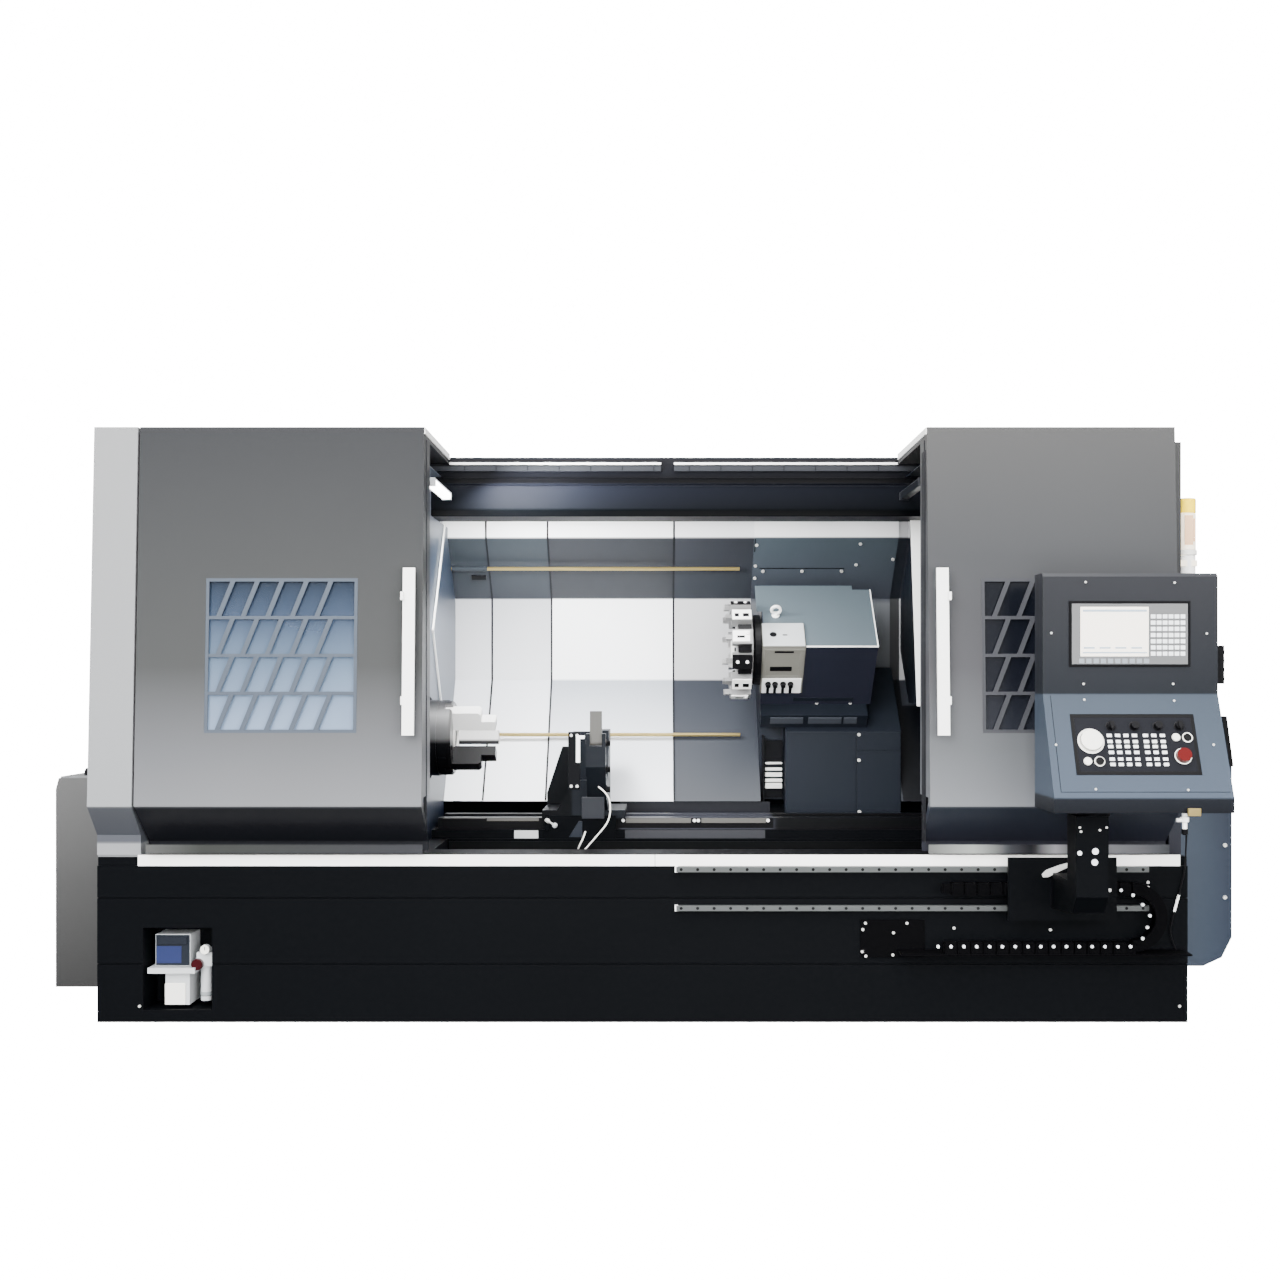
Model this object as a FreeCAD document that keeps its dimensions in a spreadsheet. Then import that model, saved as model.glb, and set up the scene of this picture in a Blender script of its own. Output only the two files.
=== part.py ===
"""Long-bed CNC turning lathe with a slanted bed, as a parametric assembly.

Millimetres.  X runs along the spindle axis, from the headstock on the left to
the tail end on the right.  Y runs from the operator into the machine, Z is up.
The origin lies on the floor, at the middle of the base.
"""
import FreeCAD, Part
import os
import re
import Sketcher
from FreeCAD import Placement, Rotation, Vector

DOC = FreeCAD.newDocument("turning_lathe")
DIMS = DOC.addObject("Spreadsheet::Sheet", "Dims")
NODES = []

# --- driving dimensions ----------------------------------------------------
SIZES = {
    # base: a plinth with a chip channel along it
    "base_length": 3980, "base_depth": 1700, "base_top": 605,
    "skirt_thick": 10, "seam": 3, "seam_low": 215, "seam_high": 456, "floor_gap": 2,
    "strip_top": 613, "strip_height": 40, "strip_proud": 2, "strip_left": -1841,
    "strip_right": 1962, "strip_joint": 46, "joint_gap": 2,
    "channel_left": -800, "channel_front": 260, "channel_width": 380,
    "channel_floor": 330,
    "niche_left": -1823, "niche_width": 252, "niche_foot": 47, "niche_height": 300,
    "niche_depth": 150,
    # spindle axis and the slant of the bed
    "axis_in": 600, "axis_up": 1018, "slant": 45,
    "bed_left": -1780, "bed_right": 1900, "bed_face": 600, "bed_reach": 760,
    "bed_back": 1650, "step_front": 650, "step_top": 640,
    "rail_low": 160, "rail_high": 640, "rail_width": 45, "rail_height": 35,
    "way_width": 60, "way_height": 47, "way_front": 680, "way_rear": 860,
    # headstock, spindle and chuck
    "head_left": -1760, "head_right": -905, "head_front": 360, "head_back": 1392,
    "head_top": 1300, "head_crown": 60, "bore_r": 45, "shaft_r": 80,
    "shaft_fit": 0.05, "shaft_left": -1790, "nose_r": 115, "nose_thick": 18,
    "chuck_face": -765, "chuck_thick": 117, "chuck_r": 150, "chuck_rim_r": 153,
    "chuck_rim": 60, "slot_width": 40, "slot_depth": 30, "slot_start": 48,
    "jaw_clear": 0.3, "jaw_in": 52, "jaw_out": 132, "jaw_length": 114,
    "step_length": 56, "step_out": 92, "jaw_width": 56,
    # enclosure
    "sheet": 3, "door_top": 2170, "door_nose": 797, "nose_reach": 100,
    "top_reach": 30, "door_thick": 40, "chin_up": 655, "chin_in": 70,
    "skirt_foot": 620, "chin_thick": 10, "roof_back": 620,
    "end_cover_width": 159, "right_end_width": 45, "right_end_front": 70,
    "right_end_top": 2131, "roof_top": 2160, "cabinet_front": 115,
    "cabinet_top": 2080, "cabinet_left_edge": -825, "cabinet_right_edge": 1065,
    "head_wall": -866, "tail_wall": 1161, "wall_hole_r": 165, "guard_foot": 1150,
    "guard_front": 690, "guard_clear": 12, "guard_lip": 30, "cabinet_back": 625,
    "beam_front": 630, "beam_back": 900, "beam_top": 2163, "beam_foot": 1925,
    "beam_step": 2052, "beam_under": 1950, "beam_toe": 702,
    "track_height": 20, "track_thick": 15, "track_foot": 2100,
    "track_break_left": 69, "track_break_right": 122,
    # doors
    "left_door_left": -1823, "left_door_width": 1031,
    "right_door_left": 1033, "right_door_width": 900,
    "stile_width": 36, "stile_back": 108,
    "window_width": 548, "window_foot": 1061, "window_height": 558,
    "left_window_left": -1575, "right_window_left": 1224,
    "grille_thick": 4, "grille_bar": 12, "slat_width": 18, "slat_lean": 49,
    "glass_thick": 5, "glass_gap": 14, "glass_clear": 0.5,
    "handle_foot": 1054, "handle_length": 600, "handle_width": 43,
    "handle_thick": 12, "handle_gap": 33, "handle_post": 28,
    "handle_inset": 44, "hanger_width": 90, "hanger_thick": 40,
    # way covers: a C section that is repeated forwards for each layer
    "cover_thick": 3, "layer": 6, "cover_top_z": 1970, "cover_lip_z": 1879,
    "cover_lip_y": 1144, "cover_wall_y": 1400, "cover_wall_top": 1623,
    "cover_wall_foot": 1253, "cover_foot_y": 1021, "cover_foot_z": 729,
    "rod_r": 8, "rod_clear": 4, "rod_left": -704, "rod_right": 421,
    "rod_high_y": 1226, "rod_high_z": 1749, "rod_low_y": 1176, "rod_low_z": 1010,
    # saddle, cross slide and turret
    "saddle_left": 500, "saddle_width": 608, "saddle_front": 1110,
    "saddle_reach": 700, "slide_face": 290, "run_gap": 0.3,
    "apron_left": 608, "apron_width": 500, "apron_front": 1023,
    "apron_foot": 648, "saddle_cover_left": 480, "saddle_cover_width": 634,
    "slide_left": 500, "slide_width": 460, "slide_low": 330, "slide_length": 455,
    "slide_thick": 74, "turret_left": 500, "turret_width": 477,
    "turret_low": 400, "turret_length": 385, "turret_top": 128,
    "turret_notch_width": 77, "turret_notch": 26,
    "block_left": 494, "block_width": 180, "block_low": 393, "block_length": 142,
    "block_foot": -140, "block_top": 136,
    "disc_u": 513, "disc_left": 385, "disc_thick": 70, "disc_flat": 165,
    "hub_r": 90, "stations": 12, "holder_height": 40, "holder_width": 62,
    "holder_left": 366, "holder_length": 84, "tool_size": 20, "tool_out": 26,
    # steady rest
    "steady_left": -417, "steady_right": -77, "yoke_left": -224, "yoke_width": 76,
    "steady_front": 655, "steady_back": 985, "steady_foot_top": 720,
    "yoke_front": 370, "yoke_rear": 985, "yoke_rise": 24, "throat_r": 170,
    "arm_width": 47, "arm_thick": 30, "arm_up": 120,
    "arm_pivot_y": 400, "arm_drop": 8, "pin_r": 9, "pin_fit": 0.05,
    "gusset_depth": 50, "roller_r": 20, "pad_tip": 74,
    # tailstock
    "tail_left": 1230, "tail_length": 400, "tail_front": 490, "tail_back": 750,
    "tail_rise": 122, "quill_r": 55, "quill_fit": 0.05, "quill_out": 60,
    "centre_length": 70, "centre_r": 40,
    # pendant and its slide
    "pend_rail_left": 123, "pend_rail_right": 1843, "pend_rail_high": 552,
    "pend_rail_low": 411, "pend_rail_size": 20,
    "plate_left": 1316, "plate_width": 390, "plate_foot": 386, "plate_top": 612,
    "plate_thick": 14, "shoe_depth": 50, "shoe_height": 60, "shoe_inset": 30,
    "arm_left": 1472, "column_width": 110, "column_foot": 455,
    "column_elbow": 560, "column_front": 400, "column_back": 290,
    "swivel_x": 1547, "swivel_y": 345, "swivel_r": 55, "swivel_z": 790,
    "pend_left": 1372, "pend_width": 598, "pend_foot": 809, "pend_lip": 859,
    "pend_bend": 1204, "pend_top": 1617, "pend_front": 350, "pend_back": 240,
    "console_reach": 150, "screen_left": 1461, "screen_width": 414,
    "screen_foot": 1296, "screen_height": 225, "screen_thick": 4,
    "dial_x": 1516, "dial_down": 174, "dial_r": 36, "dial_high": 16,
    "stop_x": 1820, "stop_down": 228, "stop_r": 24, "stop_high": 20,
    "knob_1_x": 1668, "knob_2_x": 1748, "knob_down": 120, "knob_r": 13,
    "knob_high": 20, "button_x": 1537, "button_down": 247, "button_r": 13,
    "button_high": 10, "control_gap": 0.3,
    # cable chain
    "chain_left": 1080, "chain_bend_x": 1770, "chain_low": 290, "chain_r": 104,
    "chain_height": 42, "chain_width": 38, "chain_front": 64, "chain_pitch": 46.5,
    "link_gap": 6, "upper_left": 1085, "tray_thick": 6, "tray_depth": 106,
    # units on the ends and in the niche
    "tank_width": 410, "tank_front": 646, "tank_depth": 700, "tank_height": 852,
    "tank_chamfer": 45,
    "chute_width": 258, "chute_front": 400, "chute_depth": 340, "chute_foot": 157,
    "chute_top": 1060, "chute_round": 110, "trough_gap": 5,
    "shelf_left": -1808, "shelf_right": -1636, "shelf_in": 4, "shelf_foot": 179,
    "shelf_top": 199, "pump_left": -1790, "pump_right": -1662, "pump_in": 40,
    "pump_gap": 2, "pump_top": 317, "oil_left": -1750, "oil_in": 30, "oil_foot": 60,
    "air_left": -1640, "air_right": -1584, "air_in": 42, "air_top": 250,
    "bowl_r": 20, "bowl_in": 70, "bowl_foot": 70, "bowl_sunk": 2,
    "gauge_x": -1606, "gauge_r": 17, "gauge_in": 30, "gauge_thick": 20, "gauge_up": 12,
    "stem_width": 16, "stem_in": 45, "stem_sunk": 5,
    "lamp_r": 27, "lamp_foot": 1695, "lamp_top": 1924, "lamp_out": 28,
    "light_length": 460, "light_z": 1985, "light_height": 30, "light_width": 38,
    "light_left": -822, "light_right": 1040,
}

FRONT = "(-base_depth/2)"
HALF = "(base_length/2)"
AXIS_Y = f"({FRONT}+axis_in)"
YOKE_TOP = "(axis_up+yoke_rise)"
PIVOT_Z = "(axis_up-arm_drop)"
TAIL_TOP = "(axis_up+tail_rise)"
LAYERS = {"fixed": 0, "second": 1, "middle": 2, "saddle": 3, "outer": 4}


def fill_sheet():
    """Write each driving dimension into the sheet, with its alias."""
    for row, (alias, size) in enumerate(SIZES.items(), start=1):
        DIMS.set(f"A{row}", alias)
        DIMS.set(f"B{row}", str(size))
        DIMS.setAlias(f"B{row}", alias)
    DOC.recompute()


ALIASES = re.compile(r"\b(" + "|".join(sorted(SIZES, key=len, reverse=True)) + r")\b")


def bound(formula):
    """Turn a formula of aliases into an expression on the sheet."""
    return ALIASES.sub(r"Dims.\1", str(formula))


def value(formula):
    """Work out a formula with the sheet's present numbers."""
    result = DIMS.evalExpression(bound(formula))
    return float(getattr(result, "Value", result))


def bind(thing, prop, formula):
    thing.setExpression(prop, bound(formula))


def keep(thing, label):
    """Register a finished sub-part under the name of its node."""
    thing.Label = label
    NODES.append(thing)
    return thing


def place(thing, at=(0, 0, 0), angle=None):
    """Bind the placement: a position, and a turn about X in degrees."""
    if angle is not None:
        thing.Placement = Placement(Vector(), Rotation(Vector(1, 0, 0), 10))
        bind(thing, "Placement.Rotation.Angle", angle)
    for letter, formula in zip("xyz", at):
        bind(thing, f"Placement.Base.{letter}", formula)
    return thing


# --- forms -------------------------------------------------------------------
def sketch_on(body, role, outline, circles=()):
    """A closed outline on one of the body's origin planes, bound point by point."""
    sketch = body.newObject("Sketcher::SketchObject", body.Name + "_sketch")
    plane = [f for f in body.Origin.OriginFeatures if f.Role == role][0]
    sketch.AttachmentSupport = [(plane, "")]
    sketch.MapMode = "FlatFace"
    corners = [Vector(value(across), value(up), 0) for across, up in outline]
    count = len(corners)
    for index in range(count):
        edge = Part.LineSegment(corners[index], corners[(index + 1) % count])
        sketch.addGeometry(edge, False)
    for index in range(count):
        nxt = (index + 1) % count
        sketch.addConstraint(Sketcher.Constraint("Coincident", index, 2, nxt, 1))
    for index, (across, up) in enumerate(outline):
        pin_point(sketch, index, 1, across, up)
    for offset, (across, up, radius) in enumerate(circles):
        centre = Vector(value(across), value(up), 0)
        circle = Part.Circle(centre, Vector(0, 0, 1), value(radius))
        sketch.addGeometry(circle, False)
        pin_point(sketch, count + offset, 3, across, up)
        at = sketch.addConstraint(
            Sketcher.Constraint("Radius", count + offset, value(radius)))
        bind(sketch, f"Constraints[{at}]", radius)
    return sketch


def pin_point(sketch, geometry, point, across, up):
    for kind, formula in (("DistanceX", across), ("DistanceY", up)):
        at = sketch.addConstraint(
            Sketcher.Constraint(kind, -1, 1, geometry, point, value(formula)))
        bind(sketch, f"Constraints[{at}]", formula)


def padded(name, role, outline, start, length, circles=()):
    """A pad of an outline, from start over length along the plane's own axis."""
    body = DOC.addObject("PartDesign::Body", name)
    sketch = sketch_on(body, role, outline, circles)
    pad = body.newObject("PartDesign::Pad", name + "_pad")
    pad.Profile = sketch
    pad.Reversed = role == "XZ_Plane"
    bind(pad, "Length", length)
    axis = {"YZ_Plane": "x", "XZ_Plane": "y", "XY_Plane": "z"}[role]
    bind(body, f"Placement.Base.{axis}", start)
    return body


def section(name, outline, start, length, circles=()):
    """An outline in Y and Z, run along X."""
    return padded(name, "YZ_Plane", outline, start, length, circles)


def elevation(name, outline, start, length, circles=()):
    """An outline in X and Z, run into the machine along Y."""
    return padded(name, "XZ_Plane", outline, start, length, circles)


def turned(name, outline):
    """A body of revolution about the X axis: the outline is in X and radius."""
    body = DOC.addObject("PartDesign::Body", name)
    sketch = sketch_on(body, "XZ_Plane", outline)
    turn = body.newObject("PartDesign::Revolution", name + "_turn")
    turn.Profile = sketch
    turn.ReferenceAxis = (sketch, ["H_Axis"])
    turn.Angle = 360
    return body


def block(name, x, y, z):
    """A box between two formulas on each axis."""
    box = DOC.addObject("Part::Box", name)
    for prop, span in zip(("Length", "Width", "Height"), (x, y, z)):
        bind(box, prop, f"({span[1]})-({span[0]})")
    return place(box, (x[0], y[0], z[0]))


def rod(name, axis, radius, start, length, at=(0, 0)):
    """A cylinder along X, Y or Z; at holds the other two coordinates."""
    cylinder = DOC.addObject("Part::Cylinder", name)
    bind(cylinder, "Radius", radius)
    bind(cylinder, "Height", length)
    turns = {"x": (Vector(0, 1, 0), 90), "y": (Vector(1, 0, 0), -90)}
    if axis in turns:
        cylinder.Placement = Placement(Vector(), Rotation(*turns[axis]))
    spots = {"x": (start, *at), "y": (at[0], start, at[1]), "z": (*at, start)}
    return place(cylinder, spots[axis])


def fused(name, parts):
    fusion = DOC.addObject("Part::MultiFuse", name)
    fusion.Shapes = parts
    return fusion


def group(name, parts):
    """Separate solids under one node."""
    compound = DOC.addObject("Part::Compound", name)
    compound.Links = parts
    return compound


def cut(name, base, tools):
    result = DOC.addObject("Part::Cut", name)
    result.Base = base
    result.Tool = tools[0] if len(tools) == 1 else fused(name + "_tools", tools)
    return result


def inward(distance):
    """A Y position, as a distance in from the front face of the base."""
    return f"({FRONT}+{distance})"


def slid(u, n):
    """A point in Y and Z: u up the slant from the spindle axis, n off it."""
    return (f"{AXIS_Y}+({u})*cos(slant*1deg)-({n})*sin(slant*1deg)",
            f"axis_up+({u})*sin(slant*1deg)+({n})*cos(slant*1deg)")


def slant_height(y, n):
    """The height, at Y position y, of the line that lies n off the slant."""
    return f"axis_up+(({y})-{AXIS_Y})*tan(slant*1deg)+({n})/cos(slant*1deg)"


# --- base --------------------------------------------------------------------
def base():
    plinth = block("plinth", (f"-{HALF}", HALF), (inward("skirt_thick"), f"-{FRONT}"),
                   ("0", "base_top"))
    channel = block("channel", ("channel_left", f"{HALF}+1"),
                    (inward("channel_front"), inward("channel_front+channel_width")),
                    ("channel_floor", "base_top+1"))
    niche = block("niche", ("niche_left", "niche_left+niche_width"),
                  (inward("skirt_thick-1"), inward("skirt_thick+niche_depth")),
                  ("niche_foot", "niche_foot+niche_height"))
    keep(cut("base", plinth, [channel, niche]), "base_frame")


def skirt():
    """Three folded panels over the front, with an opening for the niche."""
    spans = (("floor_gap", "seam_low-seam/2"), ("seam_low+seam/2", "seam_high-seam/2"),
             ("seam_high+seam/2", "strip_top-strip_height"))
    panels = []
    for index, span in enumerate(spans):
        panels.append(block(f"panel_{index}", (f"-{HALF}", HALF),
                            (FRONT, inward("skirt_thick")), span))
    opening = block("niche_opening", ("niche_left", "niche_left+niche_width"),
                    (inward("-1"), inward("skirt_thick+1")),
                    ("niche_foot", "niche_foot+niche_height"))
    cut_low = cut("panel_low", panels[0], [opening])
    cut_mid = cut("panel_mid", panels[1], [opening])
    keep(group("skirt", [cut_low, cut_mid, panels[2]]), "base_skirt")


def edge_strips():
    """The bright steel edge that the doors' lower skirts run behind."""
    spans = (("strip_left", "strip_joint-joint_gap/2"),
             ("strip_joint+joint_gap/2", "strip_right"))
    strips = [block(f"strip_{i}", span, (inward("-strip_proud"), inward("skirt_thick")),
                    ("strip_top-strip_height", "strip_top"))
              for i, span in enumerate(spans)]
    keep(group("strips", strips), "edge_strips")


# --- bed -----------------------------------------------------------------------
def slant_bed():
    face_end = slid("bed_reach", "-bed_face")
    foot_y = f"{AXIS_Y}+(step_top-axis_up+bed_face/cos(slant*1deg))/tan(slant*1deg)"
    outline = [(inward("step_front"), "base_top"), (inward("step_front"), "step_top"),
               (foot_y, "step_top"), face_end, (inward("bed_back"), face_end[1]),
               (inward("bed_back"), "base_top")]
    casting = section("bed_casting", outline, "bed_left", "bed_right-bed_left")
    rails = []
    for where in ("rail_low", "rail_high"):
        corners = [slid(where, "-bed_face"), slid(f"{where}+rail_width", "-bed_face"),
                   slid(f"{where}+rail_width", "rail_height-bed_face"),
                   slid(where, "rail_height-bed_face")]
        rails.append(section("bed_" + where, corners, "head_right+60",
                             "bed_right-head_right-60"))
    keep(fused("bed", [casting, *rails]), "slant_bed")


def lower_ways():
    """The two ground ways that carry the steady rest and the tailstock."""
    ways = []
    for where in ("way_front", "way_rear"):
        ways.append(block(where + "_way", ("head_right+60", "bed_right"),
                          (inward(where), inward(f"{where}+way_width")),
                          ("step_top", "step_top+way_height")))
    keep(group("ways", ways), "lower_ways")


# --- headstock, spindle and chuck ------------------------------------------------
def headstock():
    foot_y = f"{AXIS_Y}+(step_top-axis_up+bed_face/cos(slant*1deg))/tan(slant*1deg)"
    back = inward("head_back")
    outline = [(inward("head_front"), "step_top"), (foot_y, "step_top"),
               (back, slant_height(back, "-bed_face")), (back, "head_top"),
               (inward("head_front+520"), "head_top+head_crown"),
               (inward("head_front+140"), "head_top+head_crown"),
               (inward("head_front"), "head_top-60")]
    keep(section("headstock", outline, "head_left", "head_right-head_left",
                 [(AXIS_Y, "axis_up", "shaft_r+shaft_fit")]), "headstock")


def spindle():
    chuck_back = "(chuck_face-chuck_thick)"
    outline = [("shaft_left", "bore_r"), (chuck_back, "bore_r"), (chuck_back, "nose_r"),
               (f"{chuck_back}-nose_thick", "nose_r"),
               (f"{chuck_back}-nose_thick", "shaft_r"), ("shaft_left", "shaft_r")]
    keep(place(turned("shaft", outline), ("0", AXIS_Y, "axis_up")), "spindle_shaft")


def chuck():
    """A three-jaw power chuck: a turned body with a slot for each jaw."""
    back = "(chuck_face-chuck_thick)"
    outline = [(back, "bore_r"), ("chuck_face", "bore_r"), ("chuck_face", "chuck_r-8"),
               ("chuck_face-8", "chuck_r"), (f"{back}+chuck_rim", "chuck_r"),
               (f"{back}+chuck_rim", "chuck_rim_r"), (back, "chuck_rim_r")]
    body = turned("chuck_turned", outline)
    slots = []
    for number in range(3):
        slot = block(f"jaw_slot_{number}", ("chuck_face-slot_depth", "chuck_face+1"),
                     ("-slot_width/2", "slot_width/2"), ("slot_start", "chuck_rim_r+2"))
        holder = group(f"jaw_slot_turn_{number}", [slot])
        slots.append(place(holder, angle=f"{30 + 120 * number}"))
    keep(place(cut("chuck", body, slots), ("0", AXIS_Y, "axis_up")), "chuck_body")
    for number in range(3):
        chuck_jaw(number)


def chuck_jaw(number):
    """A master jaw in its slot with a stepped top jaw, drawn along its own Z."""
    master = block(f"master_jaw_{number}",
                   ("chuck_face-slot_depth+jaw_clear", "chuck_face+jaw_clear+1"),
                   ("jaw_clear-slot_width/2", "slot_width/2-jaw_clear"),
                   ("jaw_in", "jaw_out"))
    nose = "(chuck_face+jaw_clear+jaw_length)"
    steps = [("chuck_face+jaw_clear", "jaw_in"), (f"{nose}+step_length", "jaw_in"),
             (f"{nose}+step_length", "step_out"), (nose, "step_out"), (nose, "jaw_out-10"),
             (f"{nose}-10", "jaw_out"), ("chuck_face+jaw_clear", "jaw_out")]
    top = elevation(f"top_jaw_{number}", steps, "-jaw_width/2", "jaw_width")
    jaw = fused(f"jaw_{number}", [master, top])
    place(jaw, ("0", AXIS_Y, "axis_up"), f"{30 + 120 * number}")
    keep(jaw, f"chuck_jaw_{number + 1}")


# --- enclosure -------------------------------------------------------------------
def face_y(z, proud="0"):
    """Y of the doors' leaning front face at a height, less what stands proud."""
    return (f"({FRONT}-nose_reach+(({z})-door_nose)*(nose_reach-top_reach)"
            f"/(door_top-door_nose)-({proud}))")


def end_covers():
    left = [(inward("-top_reach"), "door_top"), (inward("-nose_reach"), "door_nose"),
            (FRONT, "base_top+81"), (FRONT, "strip_top"), (inward("skirt_thick"), "strip_top"),
            (inward("skirt_thick"), "base_top"), (f"-{FRONT}", "base_top"),
            (f"-{FRONT}", "roof_top"), (inward("beam_back"), "door_top")]
    keep(section("left_end", left, f"-{HALF}", "end_cover_width"), "left_end_cover")
    right = [(inward("right_end_front"), "right_end_top"),
             (inward("right_end_front"), "base_top"), (f"-{FRONT}", "base_top"),
             (f"-{FRONT}", "roof_top"), (inward("beam_back"), "roof_top"),
             (inward("beam_front"), "right_end_top")]
    keep(section("right_end", right, f"{HALF}-right_end_width", "right_end_width"),
         "right_end_cover")


def left_cabinet():
    """Front sheet, roof sheet and the guard wall that the chuck comes through."""
    left = f"(end_cover_width-{HALF})"
    front = inward("cabinet_front")
    bent = [(front, "base_top"), (front, "cabinet_top"), (inward("cabinet_back"), "cabinet_top"),
            (inward("cabinet_back"), "cabinet_top-sheet"),
            (f"{front}+sheet", "cabinet_top-sheet"), (f"{front}+sheet", "base_top")]
    skin = section("left_skin", bent, left, f"cabinet_left_edge-{left}")
    wall_outline = [(f"{front}+sheet", "base_top"), (f"{front}+sheet", "cabinet_top-sheet"),
                    (inward("cabinet_back"), "cabinet_top-sheet"),
                    (inward("cabinet_back"), "beam_foot-5"),
                    (inward("cover_lip_y-4*layer-8"), "beam_foot-5"),
                    (inward("cover_lip_y-4*layer-8"), "cover_lip_z-8"),
                    (inward("cover_wall_y-4*layer-8"), "cover_wall_top-8"),
                    (inward("cover_wall_y-4*layer-8"), "cover_wall_foot+4"),
                    (inward("cover_foot_y-4*layer-8"), "cover_foot_z"),
                    (inward("cover_foot_y-4*layer-8"), "step_top+0.3"),
                    (inward("step_front-5"), "step_top+0.3"),
                    (inward("step_front-5"), "base_top")]
    hole = (AXIS_Y, "axis_up", "wall_hole_r")
    wall = section("head_guard", wall_outline, "head_wall-sheet", "sheet", [hole])
    keep(group("left_cab", [skin, wall]), "left_cabinet")


def right_cabinet():
    right = f"({HALF}-right_end_width)"
    front = inward("cabinet_front")
    bent = [(front, "base_top"), (front, "cabinet_top"), (inward("cabinet_back"), "cabinet_top"),
            (inward("cabinet_back"), "cabinet_top-sheet"),
            (f"{front}+sheet", "cabinet_top-sheet"), (f"{front}+sheet", "base_top")]
    keep(section("right_skin", bent, "cabinet_right_edge", f"{right}-cabinet_right_edge"),
         "right_cabinet")


def tail_guard():
    """The end guard of the cutting space, cut away below for the tailstock."""
    back = inward("cover_wall_y-4*layer-12")
    foot = "guard_foot"
    start = (f"{AXIS_Y}+({foot}-guard_clear-axis_up+slide_face/cos(slant*1deg))"
             "/tan(slant*1deg)")
    outline = [(inward("beam_back+guard_lip"), "beam_foot-1"), (inward("guard_front"), foot),
               (start, foot), (back, f"{slant_height(back, '-slide_face')}+guard_clear"),
               (inward("cover_wall_y-4*layer-12"), "cover_wall_top-12"),
               (inward("cover_lip_y-4*layer-12"), "cover_lip_z-12"),
               (inward("cover_lip_y-4*layer-12"), "beam_foot+30"),
               (inward("beam_back"), "beam_foot+30"), (inward("beam_back"), "beam_foot-1")]
    keep(section("tail_wall_sheet", outline, "tail_wall", "sheet"), "tail_guard")


def rear_enclosure():
    left = f"(end_cover_width-{HALF})"
    right = f"({HALF}-right_end_width)"
    back = f"(-{FRONT})"
    outline = [(inward("beam_back"), "roof_top-sheet"), (f"{back}-sheet", "roof_top-sheet"),
               (f"{back}-sheet", "base_top"), (back, "base_top"), (back, "roof_top"),
               (inward("beam_back"), "roof_top")]
    keep(section("rear_skin", outline, left, f"{right}-{left}"), "rear_enclosure")


def top_beam():
    left = f"(end_cover_width-{HALF})"
    right = f"({HALF}-right_end_width)"
    outline = [(inward("beam_front"), "beam_top-6"), (inward("beam_front"), "beam_step"),
               (inward("beam_front+15"), "beam_step-7"),
               (inward("beam_toe"), "beam_under"), (inward("beam_toe"), "beam_foot"),
               (inward("beam_back"), "beam_foot"), (inward("beam_back"), "roof_top-sheet"),
               (inward("beam_back-20"), "beam_top-6")]
    keep(section("beam", outline, left, f"{right}-{left}"), "top_beam")


def door_tracks():
    """Linear guides on the beam that the doors hang from."""
    spans = (("left_door_left-4", "track_break_left"),
             ("track_break_right", f"{HALF}-right_end_width-4"))
    bars = [block(f"track_{i}", span, (inward("beam_front-track_thick"), inward("beam_front")),
                  ("track_foot", "track_foot+track_height")) for i, span in enumerate(spans)]
    keep(group("tracks", bars), "door_tracks")


def work_lights():
    """Two tube lights under the roof, each on a stay from its guard wall."""
    y = (inward("cabinet_front+sheet+60"), inward("cabinet_front+sheet+60+light_length"))
    z = ("light_z", "light_z+light_height")
    stay_y = (inward("cabinet_front+sheet+280"), inward("cabinet_front+sheet+310"))
    stay_z = ("light_z+8", "light_z+20")
    left = fused("left_light", [
        block("left_tube", ("light_left", "light_left+light_width"), y, z),
        block("left_stay", ("head_wall", "light_left+5"), stay_y, stay_z)])
    foot_y = (inward("cabinet_front+sheet"), inward("cabinet_front+sheet+65"))
    right = fused("right_light", [
        block("right_tube", ("light_right", "light_right+light_width"), y, z),
        block("right_stay", ("cabinet_right_edge+2", "cabinet_right_edge+12"), foot_y, stay_z)])
    keep(group("lights", [left, right]), "work_lights")


# --- doors ---------------------------------------------------------------------
def door(side, left, width, window_left, stile_left, hanger_lefts):
    """A sliding door: a leaning face, a chamfered chin and a roof that hangs."""
    outline = [(inward("roof_back"), "door_top"), (inward("-top_reach"), "door_top"),
               (inward("-nose_reach"), "door_nose"), (inward("chin_in"), "chin_up"),
               (inward("chin_in"), "skirt_foot"), (inward("chin_in+chin_thick"), "skirt_foot"),
               (inward("chin_in+chin_thick"), "chin_up+5"),
               (inward("door_thick-nose_reach"), "door_nose+14"),
               (inward("door_thick-top_reach"), "door_top-door_thick"),
               (inward("roof_back"), "door_top-door_thick")]
    slab = section(f"{side}_slab", outline, left, width)
    hole = block(f"{side}_window_hole", (window_left, f"{window_left}+window_width"),
                 (inward("-nose_reach-20"), inward("door_thick+20")),
                 ("window_foot", "window_foot+window_height"))
    low, high = "(door_nose+30)", "(door_top-door_thick+1)"
    edge = [(f"{face_y(low)}+door_thick-2", low), (f"{face_y(high)}+door_thick-2", high),
            (inward("stile_back"), high), (inward("stile_back"), low)]
    stile = section(f"{side}_stile", edge, stile_left, "stile_width")
    hangers = [block(f"{side}_hanger_{i}", (at, f"{at}+hanger_width"),
                     (inward("beam_front-track_thick-run_gap-hanger_thick"),
                      inward("beam_front-track_thick-run_gap")),
                     ("track_foot", "door_top-door_thick+1"))
               for i, at in enumerate(hanger_lefts)]
    holed = cut(f"{side}_holed", slab, [hole])
    keep(fused(f"{side}_door", [holed, stile, *hangers]), f"{side}_door_panel")
    door_grille(side, window_left)
    door_glass(side, window_left)


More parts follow.
